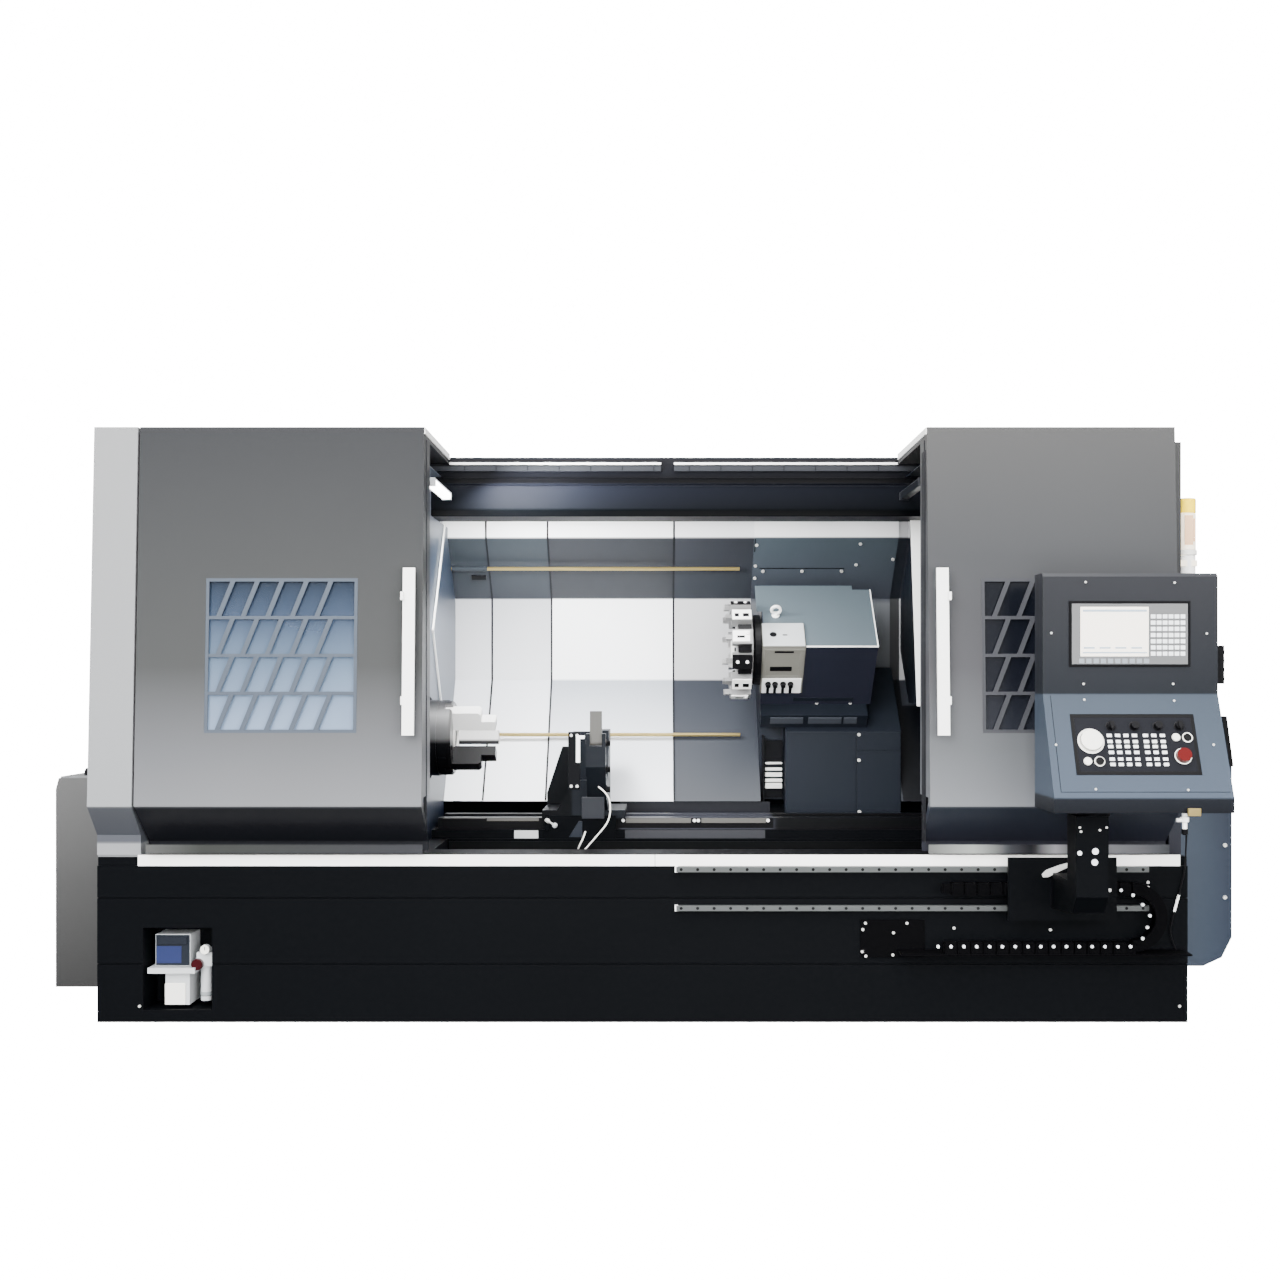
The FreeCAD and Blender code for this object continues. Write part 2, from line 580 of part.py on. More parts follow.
def door_grille(side, window_left):
    """A laser-cut plate in the window: four rows of slanted slots."""
    top = "(window_foot+window_height)"
    outline = [(face_y("window_foot"), "window_foot"), (face_y(top), top),
               (f"{face_y(top)}+grille_thick", top),
               (f"{face_y('window_foot')}+grille_thick", "window_foot")]
    plate = section(f"{side}_plate", outline, f"{window_left}+glass_clear",
                    "window_width-2*glass_clear")
    rows, columns = 4, 6
    row_height = f"((window_height-grille_bar)/{rows})"
    pitch = f"((window_width-grille_bar-slat_lean)/{columns - 0.5})"
    lowest, highest = f"{window_left}+grille_bar", f"{window_left}+window_width-grille_bar"
    cells = []
    for row in range(rows):
        foot = f"(window_foot+grille_bar+{row}*{row_height})"
        head = f"({foot}+{row_height}-grille_bar)"
        for column in range(columns):
            start = f"({lowest}+({column}-0.5)*{pitch})"
            stop = f"({start}+{pitch}-slat_width)"
            low_left = lowest if column == 0 else start
            high_left = lowest if column == 0 else f"{start}+slat_lean"
            low_right = highest if column == columns - 1 else stop
            high_right = highest if column == columns - 1 else f"{stop}+slat_lean"
            cells.append([(low_left, foot), (low_right, foot), (high_right, head),
                          (high_left, head)])
    cutters = [elevation(f"{side}_cell_{i}", cell, inward("-nose_reach-10"), "nose_reach+80")
               for i, cell in enumerate(cells)]
    keep(cut(f"{side}_grille", plate, cutters), f"{side}_door_grille")


def door_glass(side, window_left):
    top = "(window_foot+window_height)"
    foot = "window_foot"
    near, far = "glass_gap", "glass_gap+glass_thick"
    outline = [(f"{face_y(foot)}+{near}", foot), (f"{face_y(top)}+{near}", top),
               (f"{face_y(top)}+{far}", top), (f"{face_y(foot)}+{far}", foot)]
    keep(section(f"{side}_pane", outline, f"{window_left}+glass_clear",
                 "window_width-2*glass_clear"), f"{side}_door_glass")


def door_handle(side, left):
    """A flat pull bar on two posts, parallel to the leaning face."""
    foot, top = "handle_foot", "(handle_foot+handle_length)"
    outline = []
    for z, proud in ((foot, "handle_gap"), (foot, "handle_gap+handle_thick"),
                     (top, "handle_gap+handle_thick"), (top, "handle_gap")):
        outline.append((face_y(z, proud), z))
    bar = section(f"{side}_bar", outline, left, "handle_width")
    posts = []
    for i, low in enumerate((f"{foot}+handle_inset", f"{top}-handle_inset-handle_post")):
        high = f"{low}+handle_post"
        post = [(face_y(low), low), (face_y(low, "handle_gap+1"), low),
                (face_y(high, "handle_gap+1"), high), (face_y(high), high)]
        posts.append(section(f"{side}_post_{i}", post, f"{left}+9", "handle_width-18"))
    keep(fused(f"{side}_pull", [bar, *posts]), f"{side}_door_handle")


def doors():
    left_edge, right_edge = "left_door_left", "right_door_left"
    stile_left = f"{left_edge}+left_door_width-stile_width"
    hangers = (f"{left_edge}+120", f"{left_edge}+left_door_width-260")
    door("left", left_edge, "left_door_width", "left_window_left", stile_left, hangers)
    door_handle("left", f"{left_edge}+left_door_width-65")
    hangers = (f"{right_edge}+170", f"{right_edge}+right_door_width-210")
    door("right", right_edge, "right_door_width", "right_window_left", right_edge, hangers)
    door_handle("right", f"{right_edge}+22")


# --- way covers -------------------------------------------------------------------
def cover_sheet(name, layer, left, right, forward=None):
    """One bent sheet of the way covers, brought forward by its layer."""
    forward = forward or f"{LAYERS[layer]}*layer"
    line = [("cover_lip_y", "cover_top_z"), ("cover_lip_y", "cover_lip_z"),
            ("cover_wall_y", "cover_wall_top"), ("cover_wall_y", "cover_wall_foot"),
            ("cover_foot_y", "cover_foot_z")]
    back = [(inward(f"{y}-({forward})"), z) for y, z in line]
    near = [(inward(f"{y}-({forward})-cover_thick"), z) for y, z in reversed(line)]
    return section(name, back + near, left, f"({right})-({left})")


def cover_rod(name, y, z):
    """A brass guide rod on two brackets from the second fixed sheet."""
    bar = rod(name + "_bar", "x", "rod_r", "rod_left", "rod_right-rod_left", (inward(y), z))
    return bar


def way_covers():
    spacer = cover_sheet("cover_spacer", "fixed", "-690", "-660", "layer-cover_thick")
    left = fused("left_covers", [cover_sheet("cover_1", "fixed", "head_right", "-644"),
                                 spacer, cover_sheet("cover_2", "second", "-704", "-372")])
    right = cover_sheet("cover_7", "second", "1390", f"{HALF}-right_end_width")
    keep(group("end_covers", [left, right]), "way_cover_ends")
    keep(cover_sheet("cover_3", "middle", "-432", "190"), "way_cover_middle")
    saddle = [cover_sheet("cover_4", "saddle", "124", "saddle_left"),
              cover_sheet("cover_5", "saddle", "saddle_left+saddle_width", "1580")]
    keep(group("saddle_covers", saddle), "way_cover_saddle")
    keep(cover_sheet("cover_6", "middle", "1240", "1850"), "way_cover_tail")


def cover_rods():
    """Brass rods along the covers, carried by the guard wall at their left end."""
    rods = []
    for name, y, z in (("high", "rod_high_y", "rod_high_z"), ("low", "rod_low_y", "rod_low_z")):
        bar = rod(f"{name}_rod", "x", "rod_r", "head_wall", "rod_right-head_wall",
                  (inward(y), z))
        rods.append(bar)
    keep(group("rods", rods), "cover_rods")


# --- saddle ----------------------------------------------------------------------
def saddle():
    top, under = "-slide_face", "rail_height+run_gap-bed_face"
    front = inward("saddle_front")
    body = [(front, slant_height(front, under)), (front, slant_height(front, top)),
            slid("saddle_reach", top), slid("saddle_reach", under)]
    casting = section("saddle_body", body, "saddle_left", "saddle_width")
    nose = inward("apron_front")
    apron = [(nose, "apron_foot"), (nose, slant_height(nose, top)),
             (front, slant_height(front, top)), (front, f"{slant_height(front, under)}+6"),
             (f"{nose}+18", "apron_foot")]
    cover = section("apron", apron, "apron_left", "apron_width")
    tunnel = rod("rod_tunnel", "x", "rod_r+rod_clear", "saddle_left-1", "apron_left",
                 (inward("rod_low_y"), "rod_low_z"))
    bind(tunnel, "Height", "apron_left+apron_width-saddle_left+2")
    hood_back = inward(f"cover_wall_y-{LAYERS['outer']}*layer")
    lug = block("hood_lug", ("saddle_left+60", "saddle_left+saddle_width-60"),
                (hood_back, f"{hood_back}+12"), ("cover_wall_foot-60", "cover_wall_foot+140"))
    whole = fused("saddle_whole", [casting, cover, lug])
    keep(cut("saddle", whole, [tunnel]), "saddle_casting")
    line = [("cover_lip_y", "cover_top_z"), ("cover_lip_y", "cover_lip_z"),
            ("cover_wall_y", "cover_wall_top"), ("cover_wall_y", "cover_wall_foot+10")]
    forward = f"{LAYERS['outer']}*layer"
    back = [(inward(f"{y}-({forward})"), z) for y, z in line]
    near = [(inward(f"{y}-({forward})-cover_thick"), z) for y, z in reversed(line)]
    hood = section("saddle_hood_sheet", back + near, "saddle_cover_left",
                   "saddle_cover_width")
    keep(hood, "saddle_hood")


def slanted(name, parts, joined=True):
    """Put sub-parts drawn along the slant at the spindle axis."""
    whole = fused(name, parts) if joined and len(parts) > 1 else group(name, parts)
    return place(whole, ("0", AXIS_Y, "axis_up"), "slant")


def cross_slide():
    low, high = "slide_low", "slide_low+slide_length"
    plate = block("slide_plate", ("slide_left", "slide_left+slide_width"), (low, high),
                  ("run_gap-slide_face", "slide_thick-slide_face"))
    keep(slanted("slide", [plate]), "cross_slide")


def turret():
    foot = "slide_thick-slide_face"
    shell = block("turret_shell", ("turret_left", "turret_left+turret_width"),
                  ("turret_low", "turret_low+turret_length"), (foot, "turret_top"))
    notch = block("turret_notch_box",
                  ("turret_left+turret_width-turret_notch_width",
                   "turret_left+turret_width+1"),
                  ("turret_low+turret_length-turret_notch", "turret_low+turret_length+1"),
                  (f"{foot}-1", "turret_top+1"))
    seat = block("block_seat", ("block_left-1", "block_left+block_width"),
                 ("block_low", "block_low+block_length"), ("block_foot", "block_top+1"))
    shell_cut = cut("turret_shell_cut", shell, [notch, seat])
    keep(slanted("turret_case", [shell_cut]), "turret_housing")
    head = block("turret_block", ("block_left", "block_left+block_width"),
                 ("block_low", "block_low+block_length"), ("block_foot", "block_top"))
    keep(slanted("turret_head_body", [head]), "turret_head")


def turret_disc():
    """A twelve-sided disc with a hub, and a holder bolted on each flat."""
    corner = f"(disc_flat/cos(180/stations*1deg))"
    outline = []
    for k in range(12):
        angle = f"({k}+0.5)*360/stations*1deg"
        outline.append((f"disc_u+{corner}*cos({angle})", f"{corner}*sin({angle})"))
    plate = section("disc_plate", outline, "disc_left", "disc_thick")
    hub = rod("disc_hub", "x", "hub_r", "disc_left+disc_thick-1",
              "block_left-disc_left-disc_thick+1-run_gap", ("disc_u", "0"))
    keep(slanted("disc", [plate, hub]), "turret_disc")
    holders = []
    for k in range(12):
        body = block(f"holder_body_{k}", ("holder_left", "holder_left+holder_length"),
                     ("-holder_width/2", "holder_width/2"),
                     ("disc_flat", "disc_flat+holder_height"))
        tool = block(f"holder_tool_{k}",
                     ("holder_left-tool_out", "holder_left+holder_length-20"),
                     ("-tool_size/2", "tool_size/2"),
                     ("disc_flat+holder_height-tool_size-8", "disc_flat+holder_height-8"))
        one = fused(f"holder_{k}", [body, tool])
        place(one, ("0", "disc_u", "0"), f"{k}*360/stations")
        holders.append(one)
    keep(slanted("holders", holders, joined=False), "tool_holders")


# --- steady rest -------------------------------------------------------------------
def steady_rest():
    foot = block("steady_foot", ("steady_left", "steady_right"),
                 (inward("steady_front"), inward("steady_back")),
                 ("step_top+way_height+run_gap", "steady_foot_top"))
    outline = [(inward("yoke_front"), YOKE_TOP), (inward("yoke_front"), f"{YOKE_TOP}-130"),
               (inward("yoke_front+110"), f"{YOKE_TOP}-260"),
               (inward("steady_front"), "steady_foot_top-1"),
               (inward("yoke_rear"), "steady_foot_top-1"), (inward("yoke_rear"), YOKE_TOP)]
    yoke = section("steady_yoke", outline, "yoke_left", "yoke_width")
    throat = rod("steady_throat", "x", "throat_r", "yoke_left-1", "yoke_width+2",
                 (AXIS_Y, "axis_up"))
    mouth = block("steady_mouth", ("yoke_left-1", "yoke_left+yoke_width+1"),
                  (f"{AXIS_Y}-throat_r", f"{AXIS_Y}+throat_r"), ("axis_up", f"{YOKE_TOP}+1"))
    slot_left = "yoke_left+(yoke_width-arm_width)/2-run_gap"
    slot = block("arm_slot", (slot_left, f"{slot_left}+arm_width+2*run_gap"),
                 (inward("yoke_front-1"), f"{AXIS_Y}"),
                 (f"{PIVOT_Z}-arm_thick/2-2", f"{YOKE_TOP}+1"))
    pin_hole = rod("arm_pin_hole", "x", "pin_r", "yoke_left-1", "yoke_width+2",
                   (inward("arm_pivot_y"), PIVOT_Z))
    shaped = cut("steady_cut", yoke, [throat, mouth, slot, pin_hole])
    gusset_outline = [("steady_left", "steady_foot_top-1"), ("steady_left", "steady_foot_top+50"),
                      ("steady_left+65", f"{YOKE_TOP}-75"), ("yoke_left-82", f"{YOKE_TOP}-75"),
                      ("yoke_left-82", f"{YOKE_TOP}-10"), ("yoke_left+1", f"{YOKE_TOP}-10"),
                      ("yoke_left+1", "steady_foot_top-1")]
    gusset = elevation("steady_gusset", gusset_outline, inward("yoke_rear-gusset_depth"),
                       "gusset_depth")
    front_rib = elevation("steady_rib", [
        ("steady_left+60", "steady_foot_top-1"), ("yoke_left-60", f"{YOKE_TOP}-200"),
        ("yoke_left+1", f"{YOKE_TOP}-200"), ("yoke_left+1", "steady_foot_top-1")],
        inward("steady_front"), "40")
    pads = []
    for number, angle in enumerate((225, 315)):
        pad = block(f"pad_{number}", ("yoke_left+yoke_width/2-16", "yoke_left+yoke_width/2+16"),
                    ("-14", "14"), ("pad_tip", "throat_r+4"))
        turn = group(f"pad_turn_{number}", [pad])
        pads.append(place(turn, ("0", AXIS_Y, "axis_up"), f"{angle}-90"))
    keep(fused("steady", [foot, shaped, gusset, front_rib, *pads]), "steady_body")
    steady_arm()


def steady_arm():
    """The bright upper arm, open at rest; its pin turns in the yoke's ears."""
    left = "yoke_left+(yoke_width-arm_width)/2"
    y = inward("arm_pivot_y")
    shank = block("arm_shank", (left, f"{left}+arm_width"),
                  (f"{y}-arm_thick/2", f"{y}+arm_thick/2"),
                  (PIVOT_Z, f"{PIVOT_Z}+arm_up"))
    knuckle = rod("arm_knuckle", "x", "arm_thick/2", left, "arm_width",
                  (y, PIVOT_Z))
    roller = rod("arm_roller", "x", "roller_r", f"{left}+8", "arm_width-16",
                 (f"{y}+arm_thick/2+roller_r/3", f"{PIVOT_Z}+arm_up-roller_r"))
    pin = rod("arm_pin", "x", "pin_r-pin_fit", "yoke_left-2", "yoke_width+4",
              (y, PIVOT_Z))
    keep(fused("arm", [shank, knuckle, roller, pin]), "steady_arm")


# --- tailstock ---------------------------------------------------------------------
def tailstock():
    foot = block("tail_foot", ("tail_left", "tail_left+tail_length"),
                 (inward("steady_front"), inward("steady_back")),
                 ("step_top+way_height+run_gap", "steady_foot_top"))
    outline = [(inward("steady_front"), "steady_foot_top-1"),
               (inward("tail_front"), "axis_up-130"), (inward("tail_front"), f"{TAIL_TOP}-60"),
               (inward("tail_front+60"), TAIL_TOP), (inward("tail_back-60"), TAIL_TOP),
               (inward("tail_back"), f"{TAIL_TOP}-60"), (inward("tail_back"), "axis_up-130"),
               (inward("steady_back"), "steady_foot_top+60"),
               (inward("steady_back"), "steady_foot_top-1")]
    body = section("tail_body", outline, "tail_left+30", "tail_length-60",
                   [(AXIS_Y, "axis_up", "quill_r+quill_fit")])
    keep(fused("tail", [foot, body]), "tailstock_body")
    tip = "(tail_left+30-quill_out-centre_length)"
    profile = [(tip, "0"), (f"{tip}+centre_length", "centre_r"),
               (f"{tip}+centre_length", "quill_r"),
               ("tail_left+tail_length-60", "quill_r"), ("tail_left+tail_length-60", "0")]
    keep(place(turned("quill", profile), ("0", AXIS_Y, "axis_up")), "tailstock_quill")


# --- pendant ---------------------------------------------------------------------
def pendant_rails():
    rails = [block(f"pend_{z}_bar", ("pend_rail_left", "pend_rail_right"),
                   (inward("-pend_rail_size"), FRONT), (z, f"{z}+pend_rail_size"))
             for z in ("pend_rail_high", "pend_rail_low")]
    keep(group("pend_rails", rails), "pendant_rails")


def pendant_carriage():
    plate_back = "-pend_rail_size-shoe_depth"
    plate = block("carriage_plate", ("plate_left", "plate_left+plate_width"),
                  (inward(f"{plate_back}-plate_thick"), inward(plate_back)),
                  ("plate_foot", "plate_top"))
    shoes = []
    for i, z in enumerate(("pend_rail_high", "pend_rail_low")):
        mid = f"{z}+pend_rail_size/2"
        for j, x in enumerate(("plate_left+shoe_inset", "plate_left+plate_width-shoe_inset-70")):
            shoes.append(block(f"shoe_{i}{j}", (x, f"{x}+70"),
                               (inward(f"{plate_back}-1"), inward("-pend_rail_size-run_gap")),
                               (f"{mid}-shoe_height/2", f"{mid}+shoe_height/2")))
    elbow = [(inward(f"{plate_back}-plate_thick+1"), "column_elbow"),
             (inward("-column_back"), "column_elbow"), (inward("-column_back"), "swivel_z"),
             (inward("-column_front"), "swivel_z"), (inward("-column_front"), "column_foot+60"),
             (inward("-column_front+50"), "column_foot"),
             (inward(f"{plate_back}-plate_thick+1"), "column_foot-20")]
    column = section("column", elbow, "arm_left", "column_width")
    swivel = rod("swivel", "z", "swivel_r", "swivel_z-1",
                 "pend_foot-swivel_z+1-control_gap", ("swivel_x", inward("-swivel_y")))
    keep(fused("carriage", [plate, *shoes, column, swivel]), "pendant_carriage")


def pendant():
    outline = [(inward("-pend_front"), "pend_top-12"), (inward("-pend_front"), "pend_bend"),
               (inward("-pend_front-console_reach"), "pend_lip"),
               (inward("-pend_front-console_reach"), "pend_foot"),
               (inward("-pend_back"), "pend_foot"), (inward("-pend_back"), "pend_top"),
               (inward("-pend_front+12"), "pend_top")]
    keep(section("pend_case", outline, "pend_left", "pend_width"), "pendant_housing")
    keep(block("screen", ("screen_left", "screen_left+screen_width"),
               (inward("-pend_front-screen_thick"), inward("-pend_front")),
               ("screen_foot", "screen_foot+screen_height")), "pendant_screen")


def console_control(name, x, down, radius, height):
    """A round control on the console's slope, down from its top edge."""
    lean = "atan(console_reach/(pend_bend-pend_lip))"
    control = DOC.addObject("Part::Cylinder", name)
    bind(control, "Radius", radius)
    bind(control, "Height", height)
    out = "control_gap"
    y = f"{inward('-pend_front')}-({down})*sin({lean})-{out}*cos({lean})"
    z = f"pend_bend-({down})*cos({lean})+{out}*sin({lean})"
    place(control, (x, y, z), f"90-{lean}/1deg")
    return control


def console():
    controls = (("handwheel", "dial_x", "dial_down", "dial_r", "dial_high"),
                ("stop_button", "stop_x", "stop_down", "stop_r", "stop_high"),
                ("feed_knob", "knob_1_x", "knob_down", "knob_r", "knob_high"),
                ("speed_knob", "knob_2_x", "knob_down", "knob_r", "knob_high"),
                ("start_button", "button_x", "button_down", "button_r", "button_high"))
    for name, x, down, radius, height in controls:
        keep(console_control(name + "_form", x, down, radius, height), name)


# --- cable chain ------------------------------------------------------------------
def chain_tray():
    """A ledge on the skirt with the chain's lower run lying on it."""
    tray_top = "(chain_low-chain_height/2-run_gap)"
    ledge = block("chain_ledge", ("chain_left-150", f"{HALF}-20"), (inward("-tray_depth"), FRONT),
                  (f"{tray_top}-tray_thick", tray_top))
    near = "-chain_front-2-chain_width"
    band = block("chain_core", ("chain_left", "chain_bend_x"),
                 (inward(f"{near}+8"), inward("-chain_front-10")),
                 ("chain_low-chain_height/2-1", "chain_low+chain_height/2-6"))
    links = []
    for k in range(14):
        at = f"chain_left+{k}*chain_pitch+link_gap"
        links.append(block(f"low_link_{k}", (at, f"{at}+chain_pitch-link_gap"),
                           (inward(near), inward("-chain_front-2")),
                           (tray_top, "chain_low+chain_height/2")))
    keep(fused("tray", [ledge, band, *links]), "chain_tray")


def chain_bend():
    """The rolling half of the chain: its bend and the run to the carriage."""
    y = inward("-chain_front")
    centre = "(chain_low+chain_r)"
    ring = rod("bend_ring", "y", "chain_r+chain_height/2", y, "chain_width",
               ("chain_bend_x", centre))
    eye = rod("bend_eye", "y", "chain_r-chain_height/2", inward("-chain_front-1"),
              "chain_width+2", ("chain_bend_x", centre))
    half = block("bend_half", ("chain_bend_x-chain_r-40", "chain_bend_x"),
                 (inward("-chain_front-1"), inward("-chain_front+chain_width+1")),
                 ("chain_low-40", f"{centre}+chain_r+40"))
    arc = cut("bend_arc", ring, [eye, half])
    run_z = f"{centre}+chain_r"
    core = block("upper_core", ("upper_left", "chain_bend_x+1"),
                 (inward("-chain_front+8"), inward("-chain_front+chain_width-8")),
                 (f"{run_z}-chain_height/2+6", f"{run_z}+chain_height/2-6"))
    links = []
    for k in range(14):
        at = f"chain_bend_x-{k + 1}*chain_pitch"
        links.append(block(f"high_link_{k}", (at, f"{at}+chain_pitch-link_gap"),
                           (y, inward("-chain_front+chain_width")),
                           (f"{run_z}-chain_height/2", f"{run_z}+chain_height/2")))
    keep(fused("bend", [arc, core, *links]), "chain_bend")


# --- units -----------------------------------------------------------------------
def hydraulic_unit():
    left = f"(-{HALF}-tank_width)"
    top = "tank_height"
    outline = [(left, "0"), (f"-{HALF}", "0"), (f"-{HALF}", top),
               (f"{left}+12", top), (left, f"{top}-tank_chamfer")]
    keep(elevation("tank", outline, inward("tank_front"), "tank_depth"), "hydraulic_unit")


def chip_conveyor():
    """A trough along the chip channel and an upright discharge at its right end."""
    floor = "channel_floor"
    y0 = "channel_front+trough_gap"
    y1 = "channel_front+channel_width-trough_gap"
    trough = [(inward(y0), "base_top-10"), (inward(y0), floor), (inward(y1), floor),
              (inward(y1), "base_top-10"), (inward(f"{y1}-sheet"), "base_top-10"),
              (inward(f"{y1}-sheet"), f"{floor}+8"), (inward(f"{y0}+sheet"), f"{floor}+8"),
              (inward(f"{y0}+sheet"), "base_top-10")]
    run = section("trough", trough, "channel_left+trough_gap",
                  f"{HALF}-channel_left-trough_gap+10")
    right = f"({HALF}+4+chute_width)"
    outline = [(f"{HALF}+4", "chute_foot"), (f"{right}-chute_round", "chute_foot"),
               (f"{right}-chute_round*0.35", "chute_foot+chute_round*0.3"),
               (right, "chute_foot+chute_round"), (right, "chute_top-80"),
               (f"{right}-60", "chute_top"), (f"{HALF}+4", "chute_top")]
    chute = elevation("chute", outline, inward("channel_front+trough_gap"),
                      "channel_width-2*trough_gap")
    keep(fused("conveyor", [run, chute]), "chip_conveyor")


def signal_lamp():
    x = f"{HALF}+lamp_out"
    y = inward("right_end_front+40")
    tube = rod("lamp_tube", "z", "lamp_r", "lamp_foot", "lamp_top-lamp_foot", (x, y))
    foot = block("lamp_foot_plate", (f"{HALF}", f"{x}+lamp_r+8"),
                 (f"{y}-lamp_r-4", f"{y}+lamp_r+4"), ("lamp_foot-22", "lamp_foot"))
    keep(fused("lamp", [tube, foot]), "signal_lamp")


def niche_units():
    """The lubricator and the air preparation unit in the front niche."""
    back = inward("skirt_thick+niche_depth")
    pump = block("pump", ("pump_left", "pump_right"), (inward("pump_in"), back),
                 ("shelf_top+pump_gap", "pump_top"))
    shelf = block("shelf", ("shelf_left", "shelf_right"), (inward("shelf_in"), back),
                  ("shelf_foot", "shelf_top"))
    tank = block("reservoir", ("oil_left", "pump_right"), (inward("oil_in"), back),
                 ("oil_foot", "shelf_foot"))
    keep(fused("lube", [pump, shelf, tank]), "lubricator")
    head = block("air_head", ("air_left", "air_right"), (inward("air_in"), back),
                 ("shelf_top", "air_top"))
    bowl = rod("bowl", "z", "bowl_r", "bowl_foot", "shelf_top+bowl_sunk-bowl_foot",
               ("(air_left+air_right)/2", inward("bowl_in")))
    gauge = rod("gauge", "y", "gauge_r", inward("gauge_in"), "gauge_thick",
                ("gauge_x", "air_top+gauge_up"))
    stem = block("gauge_stem", ("gauge_x-stem_width/2", "gauge_x+stem_width/2"),
                 (inward("stem_in"), inward("stem_in+stem_width")),
                 ("air_top-stem_sunk", "air_top+gauge_up"))
    keep(fused("air", [bowl, head, gauge, stem]), "air_unit")


def build():
    fill_sheet()
    for make in (base, skirt, edge_strips, slant_bed, lower_ways, headstock, spindle, chuck,
                 end_covers, left_cabinet, right_cabinet, tail_guard, rear_enclosure,
                 top_beam, door_tracks, work_lights, doors, way_covers, cover_rods, saddle,
                 cross_slide, turret, turret_disc, steady_rest, tailstock, pendant_rails,
                 pendant_carriage, pendant, console, chain_tray, chain_bend, hydraulic_unit,
                 chip_conveyor, signal_lamp, niche_units):
        make()
    DOC.recompute()


def check_and_export():
    for thing in DOC.Objects:
        bad = {"Invalid", "Error"} & set(thing.State)
        if bad:
            raise RuntimeError(f"{thing.Label} is {bad}")
    os.makedirs("parts", exist_ok=True)
    for node in NODES:
        shape = node.Shape
        if shape.isNull() or not shape.isValid():
            raise RuntimeError(f"{node.Label} has no valid shape")
    for node in NODES:
        node.Shape.exportStep(f"parts/{node.Label}.step")
    print(len(NODES), "sub-parts written")


build()
check_and_export()
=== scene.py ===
"""Studio picture of a long slanted-bed turning lathe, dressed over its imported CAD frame.

Lengths in the classes are millimetres in the part's frame: X along the spindle, Y into the
machine, Z up from the floor. Forms are drawn in millimetres and turned into metres when they
are done. A place on an upright face is given as X and height, and a place on the pendant's
console as X and the distance down its slope.
"""
import logging
import math
from dataclasses import dataclass
from enum import Enum

import bmesh
import bpy
from mathutils import Matrix, Vector


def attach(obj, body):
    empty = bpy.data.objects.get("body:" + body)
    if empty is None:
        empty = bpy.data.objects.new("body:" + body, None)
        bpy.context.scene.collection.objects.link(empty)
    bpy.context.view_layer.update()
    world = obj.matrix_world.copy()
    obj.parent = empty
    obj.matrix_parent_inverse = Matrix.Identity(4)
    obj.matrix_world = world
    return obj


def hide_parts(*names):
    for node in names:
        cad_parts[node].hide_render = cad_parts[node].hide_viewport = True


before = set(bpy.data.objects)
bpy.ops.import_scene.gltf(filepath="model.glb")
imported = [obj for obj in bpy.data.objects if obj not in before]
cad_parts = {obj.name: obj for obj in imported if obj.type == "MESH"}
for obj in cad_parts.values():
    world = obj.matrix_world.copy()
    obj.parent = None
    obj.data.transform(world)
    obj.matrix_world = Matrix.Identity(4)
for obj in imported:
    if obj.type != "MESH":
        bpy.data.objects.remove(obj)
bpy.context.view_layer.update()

LOG = logging.getLogger("lathe")
MM = 0.001
BASE_FRONT = -850
AXIS_Y, AXIS_Z = -250, 1018


# --- colour and shader helpers ---------------------------------------------------------
def linear(code: str) -> tuple[float, float, float, float]:
    """Turns an sRGB hex colour into linear light.

    Args:
        code: Six hex digits with a leading hash.

    Returns:
        Linear red, green, blue and an alpha of one.
    """
    parts = [int(code[i:i + 2], 16) / 255 for i in (1, 3, 5)]
    return tuple(p / 12.92 if p <= 0.04045 else ((p + 0.055) / 1.055) ** 2.4
                 for p in parts) + (1.0,)


def add(tree: bpy.types.NodeTree, kind: str, settings: dict | None = None,
        links: dict | None = None) -> bpy.types.Node:
    """Adds a shader node.

    Args:
        tree: The node tree that takes it.
        kind: Blender's name of the node type.
        settings: Properties by lower-case name, or socket values by socket name or number.
        links: Source socket for each input socket.

    Returns:
        The new node.
    """
    node = tree.nodes.new(kind)
    for key, value in (settings or {}).items():
        if isinstance(key, str) and key[0].islower():
            setattr(node, key, value)
        else:
            node.inputs[key].default_value = value
    for key, source in (links or {}).items():
        tree.links.new(source, node.inputs[key])
    return node


def risen(tree: bpy.types.NodeTree, place: bpy.types.Node, stops: tuple,
          axis: str = "Z") -> bpy.types.NodeSocket:
    """A colour that changes along one axis, as paint does under light from one side.

    Args:
        tree: The material's node tree.
        place: Its texture coordinate node.
        stops: Pairs of place in millimetres and hex colour, lowest first.
        axis: The axis that the places are on.

    Returns:
        The socket that gives the colour.
    """
    low, high = stops[0][0], stops[-1][0]
    split = add(tree, "ShaderNodeSeparateXYZ", links={0: place.outputs["Object"]})
    rise = add(tree, "ShaderNodeMapRange", {"From Min": low * MM, "From Max": high * MM},
               {"Value": split.outputs[axis]})
    ramp = add(tree, "ShaderNodeValToRGB", links={0: rise.outputs[0]})
    spots = ramp.color_ramp.elements
    spots[0].color, spots[1].color = linear(stops[0][1]), linear(stops[-1][1])
    for height, code in stops[1:-1]:
        spots.new((height - low) / (high - low)).color = linear(code)
    return ramp.outputs[0]


class Grain(Enum):
    """How a surface was made, which decides the fine pattern on it."""

    ORANGE_PEEL = "sprayed and baked"
    BRUSHED_X = "brushed along the machine"
    BRUSHED_Z = "brushed upright"
    GROUND = "ground"
    TURNED = "turned on a lathe"
    CAST = "sand cast"
    MOULDED = "moulded"


